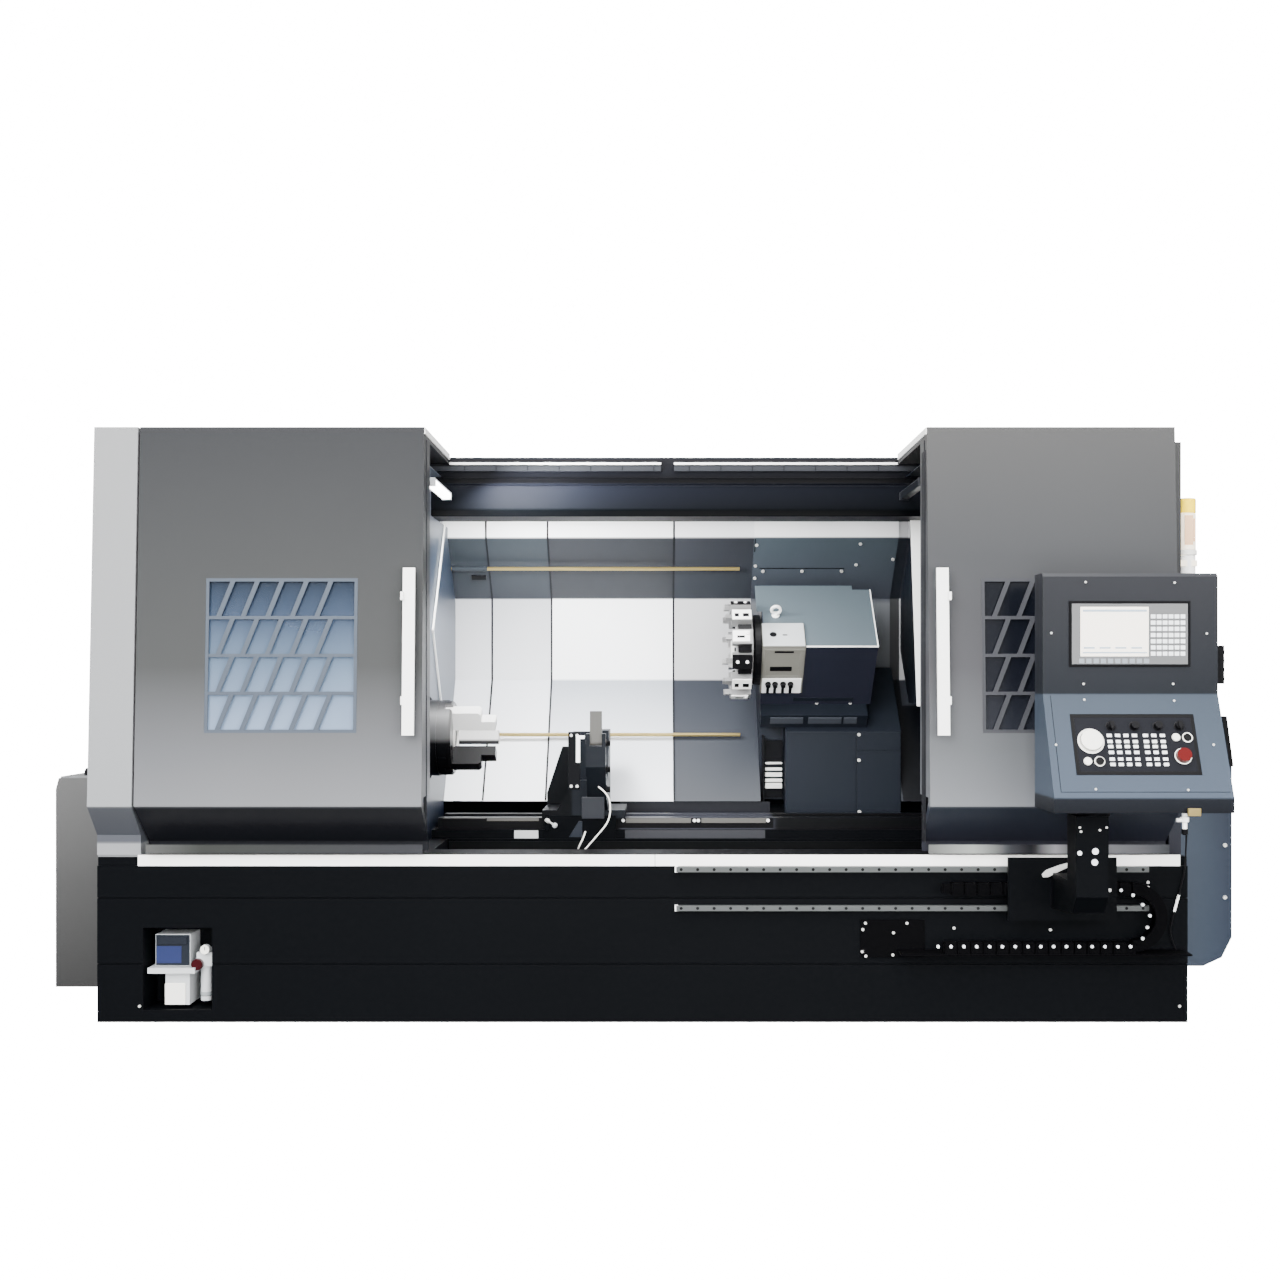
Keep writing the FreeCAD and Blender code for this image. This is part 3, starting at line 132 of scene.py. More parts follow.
@dataclass(frozen=True)
class Finish:
    """An opaque finish: one real material and the way its surface was made.

    A fade holds pairs of place in millimetres along its axis, and hex colour. The pattern's
    size and the bump's depth are millimetres too, and cloud is how far the tone wanders.
    """

    name: str
    colour: str
    metallic: float
    roughness: float
    grain: Grain
    grain_mm: float
    bump_mm: float = 0.02
    cloud: float = 0.06
    coat: float = 0.0
    fade: tuple = ()
    shine: float = 0.5
    axis: str = "Z"

    def stretch(self) -> tuple[float, float, float]:
        """How far the pattern is drawn out along each axis.

        Returns:
            A share for each axis; a small one makes long streaks.
        """
        along = 0.02
        return {Grain.BRUSHED_X: (along, 1, 1), Grain.BRUSHED_Z: (1, 1, along),
                Grain.GROUND: (along * 4, 1, 1), Grain.TURNED: (1, along * 2, along * 2)}.get(
                    self.grain, (1, 1, 1))

    def make(self) -> bpy.types.Material:
        """Builds the material once, and finds it again after that.

        Returns:
            The Blender material.
        """
        found = bpy.data.materials.get(self.name)
        if found:
            return found
        material = bpy.data.materials.new(self.name)
        material.use_nodes = True
        tree = material.node_tree
        shader = tree.nodes["Principled BSDF"]
        place = add(tree, "ShaderNodeTexCoord")
        scale = 1000 / self.grain_mm
        drawn = add(tree, "ShaderNodeMapping",
                    {"Scale": tuple(s * scale for s in self.stretch())},
                    {"Vector": place.outputs["Object"]})
        fine = add(tree, "ShaderNodeTexNoise", {"Scale": 1.0, "Detail": 3.0},
                   {"Vector": drawn.outputs[0]})
        broad = add(tree, "ShaderNodeTexNoise", {"Scale": 2.2, "Detail": 2.0},
                    {"Vector": place.outputs["Object"]})
        base = self.shade(tree, place)
        dark = add(tree, "ShaderNodeMix", {"data_type": "RGBA", "blend_type": "MULTIPLY",
                                           "Factor": 1.0}, {6: base})
        swing = add(tree, "ShaderNodeMapRange",
                    {"To Min": 1 - self.cloud, "To Max": 1 + self.cloud},
                    {"Value": broad.outputs["Fac"]})
        tree.links.new(swing.outputs[0], dark.inputs[7])
        tree.links.new(dark.outputs[2], shader.inputs["Base Color"])
        spread = 0.12 if self.metallic > 0.5 else 0.05  # metal shows its lay more than paint
        rough = add(tree, "ShaderNodeMapRange",
                    {"To Min": max(0.03, self.roughness - spread),
                     "To Max": min(1.0, self.roughness + spread)},
                    {"Value": fine.outputs["Fac"]})
        tree.links.new(rough.outputs[0], shader.inputs["Roughness"])
        bump = add(tree, "ShaderNodeBump", {"Strength": 0.5, "Distance": self.bump_mm * MM},
                   {"Height": fine.outputs["Fac"]})
        tree.links.new(bump.outputs[0], shader.inputs["Normal"])
        shader.inputs["Metallic"].default_value = self.metallic
        shader.inputs["Coat Weight"].default_value = self.coat
        shader.inputs["Specular IOR Level"].default_value = self.shine
        return material

    def shade(self, tree: bpy.types.NodeTree, place: bpy.types.Node) -> bpy.types.NodeSocket:
        """The base colour, faded upwards where the finish has stops of height and colour.

        Args:
            tree: The material's node tree.
            place: Its texture coordinate node.

        Returns:
            The socket that gives the colour.
        """
        return risen(tree, place, self.fade, self.axis) if self.fade else self.plain(tree)

    def plain(self, tree: bpy.types.NodeTree) -> bpy.types.NodeSocket:
        """One colour for the whole finish.

        Args:
            tree: The material's node tree.

        Returns:
            The socket that gives the colour.
        """
        node = add(tree, "ShaderNodeRGB")
        node.outputs[0].default_value = linear(self.colour)
        return node.outputs[0]


@dataclass(frozen=True)
class Pane:
    """Laminated window glass: partly clear, slightly blue, with dust that softens it."""

    name: str
    colour: str
    roughness: float = 0.08
    clear: float = 0.6
    fade: tuple = ()

    def make(self) -> bpy.types.Material:
        """Builds the see-through material once.

        Returns:
            The Blender material.
        """
        found = bpy.data.materials.get(self.name)
        if found:
            return found
        material = bpy.data.materials.new(self.name)
        material.use_nodes = True
        tree = material.node_tree
        shader = tree.nodes["Principled BSDF"]
        shader.inputs["Base Color"].default_value = linear(self.colour)
        shader.inputs["Roughness"].default_value = self.roughness
        place = add(tree, "ShaderNodeTexCoord")
        if self.fade:
            tree.links.new(risen(tree, place, self.fade), shader.inputs["Base Color"])
        dust = add(tree, "ShaderNodeTexNoise", {"Scale": 5.0, "Detail": 4.0},
                   {"Vector": place.outputs["Object"]})
        veil = add(tree, "ShaderNodeMapRange",
                   {"To Min": self.clear + 0.12, "To Max": self.clear - 0.12},
                   {"Value": dust.outputs["Fac"]})
        through = add(tree, "ShaderNodeBsdfTransparent", {"Color": linear("#DDE6F2")})
        blend = add(tree, "ShaderNodeMixShader", links={
            0: veil.outputs[0], 1: shader.outputs[0], 2: through.outputs[0]})
        out = tree.nodes["Material Output"]
        tree.links.new(blend.outputs[0], out.inputs["Surface"])
        return material


@dataclass(frozen=True)
class Glow:
    """A lit diffuser or display: white plastic that gives off its own light."""

    name: str
    colour: str
    strength: float

    def make(self) -> bpy.types.Material:
        """Builds the lit material once.

        Returns:
            The Blender material.
        """
        found = bpy.data.materials.get(self.name)
        if found:
            return found
        material = bpy.data.materials.new(self.name)
        material.use_nodes = True
        tree = material.node_tree
        shader = tree.nodes["Principled BSDF"]
        place = add(tree, "ShaderNodeTexCoord")
        haze = add(tree, "ShaderNodeTexNoise", {"Scale": 12.0},
                   {"Vector": place.outputs["Object"]})
        level = add(tree, "ShaderNodeMapRange", {"To Min": self.strength * 0.85,
                                                 "To Max": self.strength * 1.15},
                    {"Value": haze.outputs["Fac"]})
        tree.links.new(level.outputs[0], shader.inputs["Emission Strength"])
        shader.inputs["Base Color"].default_value = linear(self.colour)
        shader.inputs["Emission Color"].default_value = linear(self.colour)
        shader.inputs["Roughness"].default_value = 0.4
        return material


def paint(name: str, colour: str, roughness: float, bump: float, cloud: float,
          coat: float = 0.0, fade: tuple = (), shine: float = 0.5, axis: str = "Z") -> Finish:
    """Sprayed and baked paint with its fine orange peel."""
    return Finish(name, colour, 0.0, roughness, Grain.ORANGE_PEEL, 2.4, bump, cloud, coat,
                  fade, shine, axis)


def moulded(name: str, colour: str, roughness: float, bump: float, cloud: float,
            coat: float = 0.0, shine: float = 0.5) -> Finish:
    """Plastic or rubber from a mould, even but for the mould's grain."""
    return Finish(name, colour, 0.0, roughness, Grain.MOULDED, 1.6, bump, cloud, coat,
                  shine=shine)


def cover_sheet(name: str, colour: str, fade: tuple) -> Finish:
    """Stainless sheet of the way covers, brushed along the machine."""
    return Finish(name, colour, 0.12, 0.42, Grain.BRUSHED_X, 3.0, 0.01, 0.05, fade=fade)


def thin_plate(name: str, colour: str, roughness: float) -> Finish:
    """Thin metal plate or strip, brushed along the machine."""
    return Finish(name, colour, 0.1, roughness, Grain.BRUSHED_X, 2.0, 0.01, 0.05)


class Stock:
    """Every finish on the machine, named for its real material and making, and for the painted
    light that some of them carry.
    """

    # Epoxy powder paint, baked: a fine orange peel that breaks up long reflections. The
    # stops follow the fall of light down the tall doors and under their chins.
    DOOR_PAINT = paint("powder_paint_mid_grey", "#3D3E40", 0.45, 0.05, 0.05, shine=0.3)
    LEFT_DOOR_PAINT = paint("powder_paint_grey_left", "#3B3C3E", 0.45, 0.05, 0.04, shine=0.3,
                            fade=((655, "#111216"), (790, "#15161B"), (800, "#5E5F62"),
                                  (1000, "#4F5053"), (1300, "#323333"), (2170, "#232426")))
    RIGHT_DOOR_PAINT = paint("powder_paint_grey_right", "#3B3C3E", 0.45, 0.05, 0.04, shine=0.3,
                             fade=((655, "#1D1E26"), (790, "#20252F"), (800, "#5C5E62"),
                                   (1000, "#4C4E51"), (1300, "#3A3A3D"), (1700, "#343537"),
                                   (2170, "#3E3E3E")))
    # Painted shade: a dark band from 660 to 790 mm under the chin line, as on the doors.
    COLUMN_PAINT = paint("powder_paint_light_grey", "#767878", 0.45, 0.05, 0.03, shine=0.3,
                         fade=((640, "#77797B"), (652, "#77797B"), (660, "#3D3F45"),
                               (790, "#47494E"), (800, "#787A7C"), (2170, "#767778")))
    # Painted shade: the tank's paint darkens towards the floor, away from the light above.
    TANK_PAINT = paint("powder_paint_pale_grey", "#4B4B4B", 0.45, 0.05, 0.03, shine=0.3,
                       fade=((0, "#313131"), (430, "#424242"), (852, "#575757")))
    BASE_PAINT = Finish("textured_paint_near_black", "#030406", 0.0, 0.6, Grain.ORANGE_PEEL,
                        2.6, 0.08, 0.10, 0.0, shine=0.15)
    # Painted shade: near-black bands along the beam's foot and by its ledges.
    BEAM_PAINT = paint("satin_paint_blue_black", "#0D1015", 0.5, 0.04, 0.06, shine=0.2,
                       fade=((1915, "#010102"), (1950, "#010203"), (1960, "#0E1014"),
                             (2048, "#13151C"), (2056, "#040405"), (2100, "#0A0B10"),
                             (2157, "#121215")))
    # Painted light and shade: dark towards the bottom, a shaded band from 1580 to 1770 mm.
    INNER_PAINT = paint("satin_paint_blue_grey", "#272D3A", 0.4, 0.04, 0.06, 0.1,
                        fade=((620, "#030610"), (740, "#0A172E"), (800, "#38404D"),
                              (1400, "#4C5460"), (1500, "#515966"), (1580, "#2A3443"),
                              (1770, "#2A3443"), (1880, "#4C5460"), (1952, "#4C5460")))
    SLATE_PAINT = paint("satin_paint_slate", "#151920", 0.45, 0.05, 0.08, shine=0.3)
    HOUSING_PAINT = paint("satin_paint_dark_slate", "#20222D", 0.45, 0.05, 0.06, shine=0.35)
    # Painted light: the housing's slate paint made paler on its upward face.
    LID_PAINT = paint("satin_paint_slate_painted_light", "#4B555B", 0.38, 0.04, 0.06, 0.15)
    # Painted light and shade, as on the covers: a shaded band at 1626-1876 mm, a lit white lip.
    HOOD_PAINT = paint("satin_paint_storm_grey", "#363B42", 0.42, 0.05, 0.10, 0.1,
                       fade=((1250, "#3D4045"), (1600, "#575A5E"), (1626, "#34373F"),
                             (1876, "#404950"), (1882, "#F2F3F5"), (1970, "#F5F6F7")))
    # Sand-cast iron under one coat of paint: its coarse skin still shows.
    CAST_PAINT = Finish("painted_grey_iron", "#17191E", 0.0, 0.5, Grain.CAST, 4.0, 0.3, 0.1)
    # Powder paint and enamel on small sheet parts.
    GRILLE_PAINT = paint("powder_paint_blue_grey", "#3B424C", 0.45, 0.04, 0.05, shine=0.3)
    CREAM = Finish("cream_enamel", "#75746D", 0.0, 0.3, Grain.ORANGE_PEEL, 3.0, 0.05, 0.05, 0.3)
    WHITE_COAT = Finish("white_powder_coat", "#F2F2F0", 0.0, 0.35, Grain.ORANGE_PEEL, 2.0,
                        0.03, 0.03, 0.2)
    # Painted light and shade: dark under the foot, lighter on the console, darker on the
    # screen.
    PENDANT_PAINT = Finish("textured_paint_charcoal_blue", "#13161C", 0.0, 0.45,
                           Grain.ORANGE_PEEL, 2.2, 0.06, 0.06, shine=0.3,
                           fade=((809, "#0A0C11"), (855, "#0E1117"), (862, "#343D49"),
                                 (1200, "#2F3741"), (1206, "#14171C"), (1617, "#202125")))
    # Printed polyester film, matt, glued on the console.
    PANEL_FILM = Finish("matt_polyester_panel", "#0F1015", 0.0, 0.6, Grain.MOULDED, 1.8, 0.02,
                        0.04, shine=0.2)
    # Sprayed machine paint; the inner corner of the chute lies in shade.
    CONVEYOR_PAINT = paint("paint_steel_blue", "#212939", 0.42, 0.04, 0.08, 0.1, axis="X",
                           fade=((1900, "#010203"), (1975, "#030304"), (1985, "#1E2635"),
                                 (2040, "#2E3947"), (2252, "#1A2331")))
    # Injection-moulded polyamide of the cable chain.
    CHAIN = moulded("matt_black_polyamide", "#020203", 0.6, 0.03, 0.05, shine=0.1)
    # Satin paint of the steady rest, whose left face is turned from the light.
    STEADY_PAINT = paint("satin_paint_slate_steady", "#151920", 0.45, 0.05, 0.08, shine=0.3,
                         axis="X",
                         fade=((-420, "#040507"), (-300, "#040507"), (-290, "#101318"),
                               (-100, "#101318")))
    RIGHT_GRILLE = paint("powder_paint_grille_grey", "#343539", 0.45, 0.04, 0.05, shine=0.3)
    # Cold-rolled stainless sheet, finished with a belt: soft streaks along the grain. The four
    # covers are lit and shaded copies of one sheet, and each fold's tone is painted light,
    # shade
    # and reflection: each fold of a cover faces another part of the room, so it has its own
    # tone.
    # The left copy is painted light.
    COVER_LEFT = cover_sheet("stainless_cover_painted_lit", "#9A9CA0",
                             ((729, "#F2F4F7"), (1250, "#D3D6DC"), (1256, "#CACCD0"),
                              (1620, "#9FA1A5"), (1626, "#282C32"), (1876, "#2C3237"),
                              (1882, "#F4F5F7"), (1970, "#F5F6F7")))
    COVER_MIDDLE = cover_sheet("stainless_cover_mid", "#9A9CA0",
                               ((729, "#E8EBF0"), (1250, "#9AA0A8"), (1256, "#F2F3F5"),
                                (1620, "#E8EAEC"), (1626, "#25272B"), (1876, "#292B2F"),
                                (1882, "#F2F3F5"), (1970, "#F4F5F6")))
    COVER_RIGHT = cover_sheet("stainless_cover_shaded", "#9A9CA0",
                              ((729, "#34373C"), (1250, "#30333A"), (1256, "#A7A7A9"),
                               (1620, "#ACADAF"), (1626, "#282C32"), (1876, "#2C2E34"),
                               (1882, "#E4E5E8"), (1970, "#E8E9EC")))
    # The tail's copy is painted shade, except for its lit lip.
    COVER_TAIL = cover_sheet("stainless_cover_painted_shade", "#919396",
                             ((729, "#0A0B0F"), (1250, "#0E1015"), (1256, "#272729"),
                              (1620, "#313233"), (1626, "#1C1F25"), (1876, "#21242A"),
                              (1882, "#B6B6B9"), (1970, "#B9BABC")))
    # Ground and hardened steel: bright, with faint lay lines from the wheel.
    GROUND = Finish("surface_ground_steel", "#DEDDD9", 0.4, 0.36, Grain.GROUND, 2.0, 0.008,
                    0.05)
    # Polished strip along the base, rolled tracks and profile rails. The strip is near-white:
    # a painted reflection of the bright room. The ways and the doors' plinths carry painted
    # reflection and shade: their tone changes along the machine with what they mirror.
    EDGE = Finish("polished_edge_strip", "#F8F7F4", 0.0, 0.35, Grain.BRUSHED_X, 3.0, 0.01, 0.02)
    TRACK = Finish("rolled_track_steel", "#2D2F33", 0.3, 0.45, Grain.GROUND, 2.0, 0.01, 0.05,
                   shine=0.3)
    RAIL = Finish("profile_rail_steel", "#555858", 0.5, 0.4, Grain.GROUND, 2.0, 0.008, 0.05)
    WAY = Finish("hardened_way_steel", "#17181E", 0.3, 0.45, Grain.GROUND, 2.0, 0.01, 0.05,
                 axis="X",
                 fade=((-430, "#08090C"), (-400, "#050607"), (-110, "#050607"),
                       (-90, "#31333B"), (520, "#31333B"), (545, "#07080A"), (1900, "#060609")))
    SCALE = thin_plate("pale_way_scale", "#4C4B48", 0.4)
    STEP = thin_plate("grey_step_plate", "#2A2B2F", 0.45)
    SLIDE_PLATE = thin_plate("grey_slide_plate", "#3C4047", 0.45)
    # The skirt's plate is painted shade.
    FOOT_SKIRT = thin_plate("skirt_plate_painted_shade", "#16171C", 0.45)
    FOOT = Finish("brushed_stainless_plinth", "#6E6E6B", 0.5, 0.38, Grain.BRUSHED_Z, 3.0, 0.01,
                  0.05, axis="X",
                  fade=((-1823, "#5A5B5A"), (-1600, "#383A38"), (-840, "#333438"),
                        (1033, "#616361"), (1200, "#9CA09C"), (1330, "#3A3B40"),
                        (1420, "#131317"), (1500, "#8A8A8E"), (1600, "#19191E"),
                        (1700, "#727377"), (1940, "#2C2E33")))
    # Turned and hardened chuck parts: fine rings about the axis. Their stops are painted shade
    # and reflection: dark on the lower side, bright above the axis.
    TURNED = Finish("turned_chuck_steel", "#707070", 0.75, 0.34, Grain.TURNED, 2.5, 0.02, 0.06,
                    fade=((865, "#0F0F11"), (1000, "#141417"), (1022, "#777777"),
                          (1110, "#969696"), (1150, "#6A6A6A"), (1171, "#323233")))
    JAW = Finish("hardened_jaw_steel", "#9B9A99", 0.2, 0.34, Grain.TURNED, 2.5, 0.02, 0.06,
                 fade=((865, "#09090A"), (985, "#0C0C0E"), (1002, "#232325"),
                       (1012, "#D6D6D5"), (1171, "#E8E8E6")))
    # Milled tool steel, blacked steel and drawn brass.
    MACHINED = Finish("machined_tool_steel", "#ADADAD", 0.7, 0.34, Grain.GROUND, 2.5, 0.02, 0.1)
    BLACKED = Finish("blacked_steel", "#0A0B0E", 0.3, 0.42, Grain.MOULDED, 3.0, 0.02, 0.08,
                     shine=0.3)
    BRASS = Finish("drawn_brass", "#CFB878", 0.85, 0.35, Grain.GROUND, 2.0, 0.005, 0.06)
    # Injection-moulded plastics and rubber: even, with a slight grain from the mould.
    NYLON = moulded("moulded_black_nylon", "#060608", 0.45, 0.03, 0.05, shine=0.3)
    RUBBER = Finish("black_wiper_rubber", "#111216", 0.0, 0.65, Grain.MOULDED, 2.0, 0.02, 0.05)
    IVORY_ABS = moulded("moulded_ivory_abs", "#E4E3DC", 0.35, 0.02, 0.04, 0.2)
    PALE_ABS = moulded("moulded_pale_grey_abs", "#ADB0B2", 0.4, 0.02, 0.03)
    KEY_CAP = Finish("moulded_key_white", "#DDE0E2", 0.0, 0.4, Grain.MOULDED, 1.4, 0.02, 0.03)
    SCREEN_ABS = moulded("moulded_screen_grey", "#5B5C5D", 0.4, 0.02, 0.03)
    KEY_GREY = Finish("moulded_key_grey", "#787F86", 0.0, 0.4, Grain.MOULDED, 1.4, 0.02, 0.03)
    RED_ABS = moulded("moulded_red_abs", "#4B0202", 0.35, 0.02, 0.04, shine=0.3)
    # Anodised aluminium knob, turned.
    RUBY = Finish("dark_red_anodised", "#3F0C13", 0.6, 0.35, Grain.TURNED, 2.0, 0.01, 0.05)
    # Moulded lamp parts, a plain foil and a clear moulded bowl.
    YELLOW = moulded("moulded_yellow_abs", "#F7D400", 0.6, 0.01, 0.02, shine=0.1)
    AMBER = moulded("pale_amber_lens", "#D9B089", 0.5, 0.01, 0.04, shine=0.2)
    BLUE_FOIL = moulded("plain_blue_foil", "#1B2347", 0.4, 0.01, 0.03)
    CLEAR_BOWL = moulded("clear_polycarbonate", "#898D8F", 0.12, 0.01, 0.04, 0.5)
    # Lit parts: display, light tube and signal lamp.
    LCD = Glow("lit_lcd_glass", "#E6DFD4", 0.8)
    LCD_BAR = Glow("lit_lcd_soft_row", "#8FA0AE", 0.35)
    TUBE = Glow("frosted_light_tube", "#FFFFFF", 14.0)
    DARK_TUBE = Finish("unlit_light_tube", "#181A1E", 0.0, 0.3, Grain.MOULDED, 2.0, 0.01, 0.03,
                       0.4)
    BEACON = Glow("clear_lamp_tube", "#F2E6CE", 0.9)
    # Laminated safety glass, seen against the room behind it. Painted light: the left pane
    # fades from light at the bottom to dark at the top; the right pane is a darker copy,
    # painted shade.
    WINDOW = Pane("laminated_glass", "#4E5C6E", 0.2, 0.12,
                  ((1061, "#6E7E94"), (1300, "#4E5E71"), (1480, "#2F3B4D"), (1619, "#1A232F")))
    DARK_WINDOW = Pane("laminated_glass_shaded", "#0A0D13", 0.2, 0.1,
                       ((1061, "#1E2026"), (1250, "#101219"), (1619, "#0A0D13")))


NODE_FINISH = {
    "base_frame": Stock.BASE_PAINT, "base_skirt": Stock.BASE_PAINT, "edge_strips": Stock.EDGE,
    "slant_bed": Stock.BASE_PAINT, "lower_ways": Stock.WAY, "headstock": Stock.CAST_PAINT,
    "left_end_cover": Stock.COLUMN_PAINT, "left_cabinet": Stock.INNER_PAINT,
    "rear_enclosure": Stock.DOOR_PAINT, "right_cabinet": Stock.SLATE_PAINT,
    "right_end_cover": Stock.RIGHT_DOOR_PAINT, "tail_guard": Stock.SLATE_PAINT,
    "top_beam": Stock.BEAM_PAINT, "door_tracks": Stock.TRACK, "work_lights": Stock.TUBE,
    "way_cover_ends": Stock.COVER_LEFT, "cover_rods": Stock.BRASS, "pendant_rails": Stock.RAIL,
    "chain_tray": Stock.CHAIN, "lubricator": Stock.PALE_ABS, "air_unit": Stock.PALE_ABS,
    "hydraulic_unit": Stock.TANK_PAINT, "chip_conveyor": Stock.CONVEYOR_PAINT,
    "signal_lamp": Stock.BEACON, "left_door_panel": Stock.LEFT_DOOR_PAINT,
    "left_door_grille": Stock.GRILLE_PAINT, "left_door_glass": Stock.WINDOW,
    "left_door_handle": Stock.WHITE_COAT, "right_door_panel": Stock.RIGHT_DOOR_PAINT,
    "right_door_grille": Stock.RIGHT_GRILLE, "right_door_glass": Stock.DARK_WINDOW,
    "right_door_handle": Stock.WHITE_COAT, "spindle_shaft": Stock.GROUND,
    "chuck_body": Stock.TURNED, "chuck_jaw_1": Stock.JAW, "chuck_jaw_2": Stock.JAW,
    "chuck_jaw_3": Stock.JAW, "saddle_casting": Stock.SLATE_PAINT,
    "saddle_hood": Stock.HOOD_PAINT, "way_cover_saddle": Stock.COVER_RIGHT,
    "way_cover_middle": Stock.COVER_MIDDLE, "way_cover_tail": Stock.COVER_TAIL,
    "cross_slide": Stock.SLATE_PAINT, "turret_housing": Stock.HOUSING_PAINT,
    "turret_head": Stock.CREAM, "turret_disc": Stock.MACHINED, "tool_holders": Stock.MACHINED,
    "steady_body": Stock.STEADY_PAINT, "steady_arm": Stock.SCALE,
    "tailstock_body": Stock.SLATE_PAINT, "tailstock_quill": Stock.GROUND,
    "pendant_carriage": Stock.BASE_PAINT, "chain_bend": Stock.CHAIN,
    "pendant_housing": Stock.PENDANT_PAINT, "pendant_screen": Stock.NYLON,
    "handwheel": Stock.IVORY_ABS, "stop_button": Stock.RED_ABS, "feed_knob": Stock.NYLON,
    "speed_knob": Stock.NYLON, "start_button": Stock.NYLON,
}


# --- shapes ------------------------------------------------------------------------------
class Form:
    """Collects solids in millimetres in one mesh, then turns them into one piece."""

    def __init__(self, name: str) -> None:
        """Starts an empty form.

        Args:
            name: The piece's name.
        """
        self.name = name
        self.mesh = bmesh.new()

    def turn(self, made: list[bmesh.types.BMVert], frame_at: Matrix | None) -> None:
        """Moves fresh vertices by a matrix, if there is one."""
        if frame_at is not None:
            bmesh.ops.transform(self.mesh, matrix=frame_at, verts=made)

    def block(self, low: tuple, high: tuple, at: Matrix | None = None) -> "Form":
        """Adds a box.

        Args:
            low: Lowest corner.
            high: Highest corner.
            at: Where the box is put, if it is drawn elsewhere.

        Returns:
            The form itself.
        """
        outline = [(low[0], low[1]), (high[0], low[1]), (high[0], high[1]), (low[0], high[1])]
        return self.prism(outline, low[2], high[2], at)

    def prism(self, outline: list, start: float, stop: float,
              at: Matrix | None = None) -> "Form":
        """Adds an upright prism over an outline in the first two axes.

        Args:
            outline: Corners, anticlockwise.
            start: Lower end.
            stop: Upper end.
            at: Where the prism is put.

        Returns:
            The form itself.
        """
        low = [self.mesh.verts.new((x, y, start)) for x, y in outline]
        high = [self.mesh.verts.new((x, y, stop)) for x, y in outline]
        count = len(outline)
        self.mesh.faces.new(list(reversed(low)))
        self.mesh.faces.new(high)
        for i in range(count):
            j = (i + 1) % count
            self.mesh.faces.new((low[i], low[j], high[j], high[i]))
        self.turn(low + high, at)
        return self

    def lathe(self, profile: list, at: Matrix | None = None, sides: int = 32) -> "Form":
        """Adds a turned solid about the third axis.

        Args:
            profile: Pairs of radius and height; a zero radius closes an end.
            at: Where the solid is put.
            sides: How many facets go round.

        Returns:
            The form itself.
        """
        rings, made = [], []
        for radius, height in profile:
            if radius == 0:
                ring = [self.mesh.verts.new((0, 0, height))]
            else:
                ring = [self.mesh.verts.new((radius * math.cos(2 * math.pi * k / sides),
                                             radius * math.sin(2 * math.pi * k / sides),
                                             height)) for k in range(sides)]
            rings.append(ring)
            made.extend(ring)
        for low, high in zip(rings, rings[1:]):
            for k in range(sides):
                j = (k + 1) % sides
                corners = [low[k % len(low)], low[j % len(low)], high[j % len(high)],
                           high[k % len(high)]]
                self.mesh.faces.new(list(dict.fromkeys(corners)))
        if len(rings[0]) > 1:
            self.mesh.faces.new(list(reversed(rings[0])))
        if len(rings[-1]) > 1:
            self.mesh.faces.new(rings[-1])
        self.turn(made, at)
        return self

    def done(self, finish: Finish | Pane | Glow, body: str,
             bevel: float) -> bpy.types.Object:
        """Makes the piece, dresses it and lets it ride.

        Args:
            finish: What it is made of.
            body: The CAD body that it rides on.
            bevel: Edge rounding in millimetres.

        Returns:
            The finished piece.
        """
        bmesh.ops.transform(self.mesh, matrix=Matrix.Scale(MM, 4), verts=self.mesh.verts)
        bmesh.ops.recalc_face_normals(self.mesh, faces=self.mesh.faces)
        data = bpy.data.meshes.new(self.name)
        self.mesh.to_mesh(data)
        self.mesh.free()
        piece = bpy.data.objects.new(self.name, data)
        bpy.context.scene.collection.objects.link(piece)
        data.materials.append(finish.make())
        soften(piece, bevel)
        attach(piece, body)
        LOG.info("%s on %s", self.name, body)
        return piece


def soften(piece: bpy.types.Object, width: float) -> None:
    """Rounds sharp edges with a narrow bevel.

    Args:
        piece: The object to soften.
        width: Bevel width in millimetres.
    """
    if width:
        bevel = piece.modifiers.new("edge_round", "BEVEL")
        bevel.width = width * MM
        bevel.segments = 2
        bevel.limit_method = "ANGLE"
        bevel.angle_limit = math.radians(35)
        bevel.harden_normals = True
        bevel.use_clamp_overlap = True


def facing(x: float, y: float, z: float, normal: tuple, spin: float = 0.0) -> Matrix:
    """A frame whose third axis points along a normal.

    Args:
        x: Place along the machine.
        y: Place into the machine.
        z: Height.
        normal: Direction of the frame's third axis.
        spin: Turn about that axis in degrees.

    Returns:
        The frame as a matrix in millimetres.
    """
    turn = Vector((0, 0, 1)).rotation_difference(Vector(normal).normalized()).to_matrix()
    return (Matrix.Translation((x, y, z)) @ turn.to_4x4()
            @ Matrix.Rotation(math.radians(spin), 4, "Z"))


def screw_profile(radius: float, height: float) -> list:
    """Profile of a socket cap screw's head, with its socket sunk in."""
    return [(radius, 0), (radius, height * 0.85), (radius * 0.9, height),
            (radius * 0.52, height), (radius * 0.5, height * 0.35), (0, height * 0.3)]


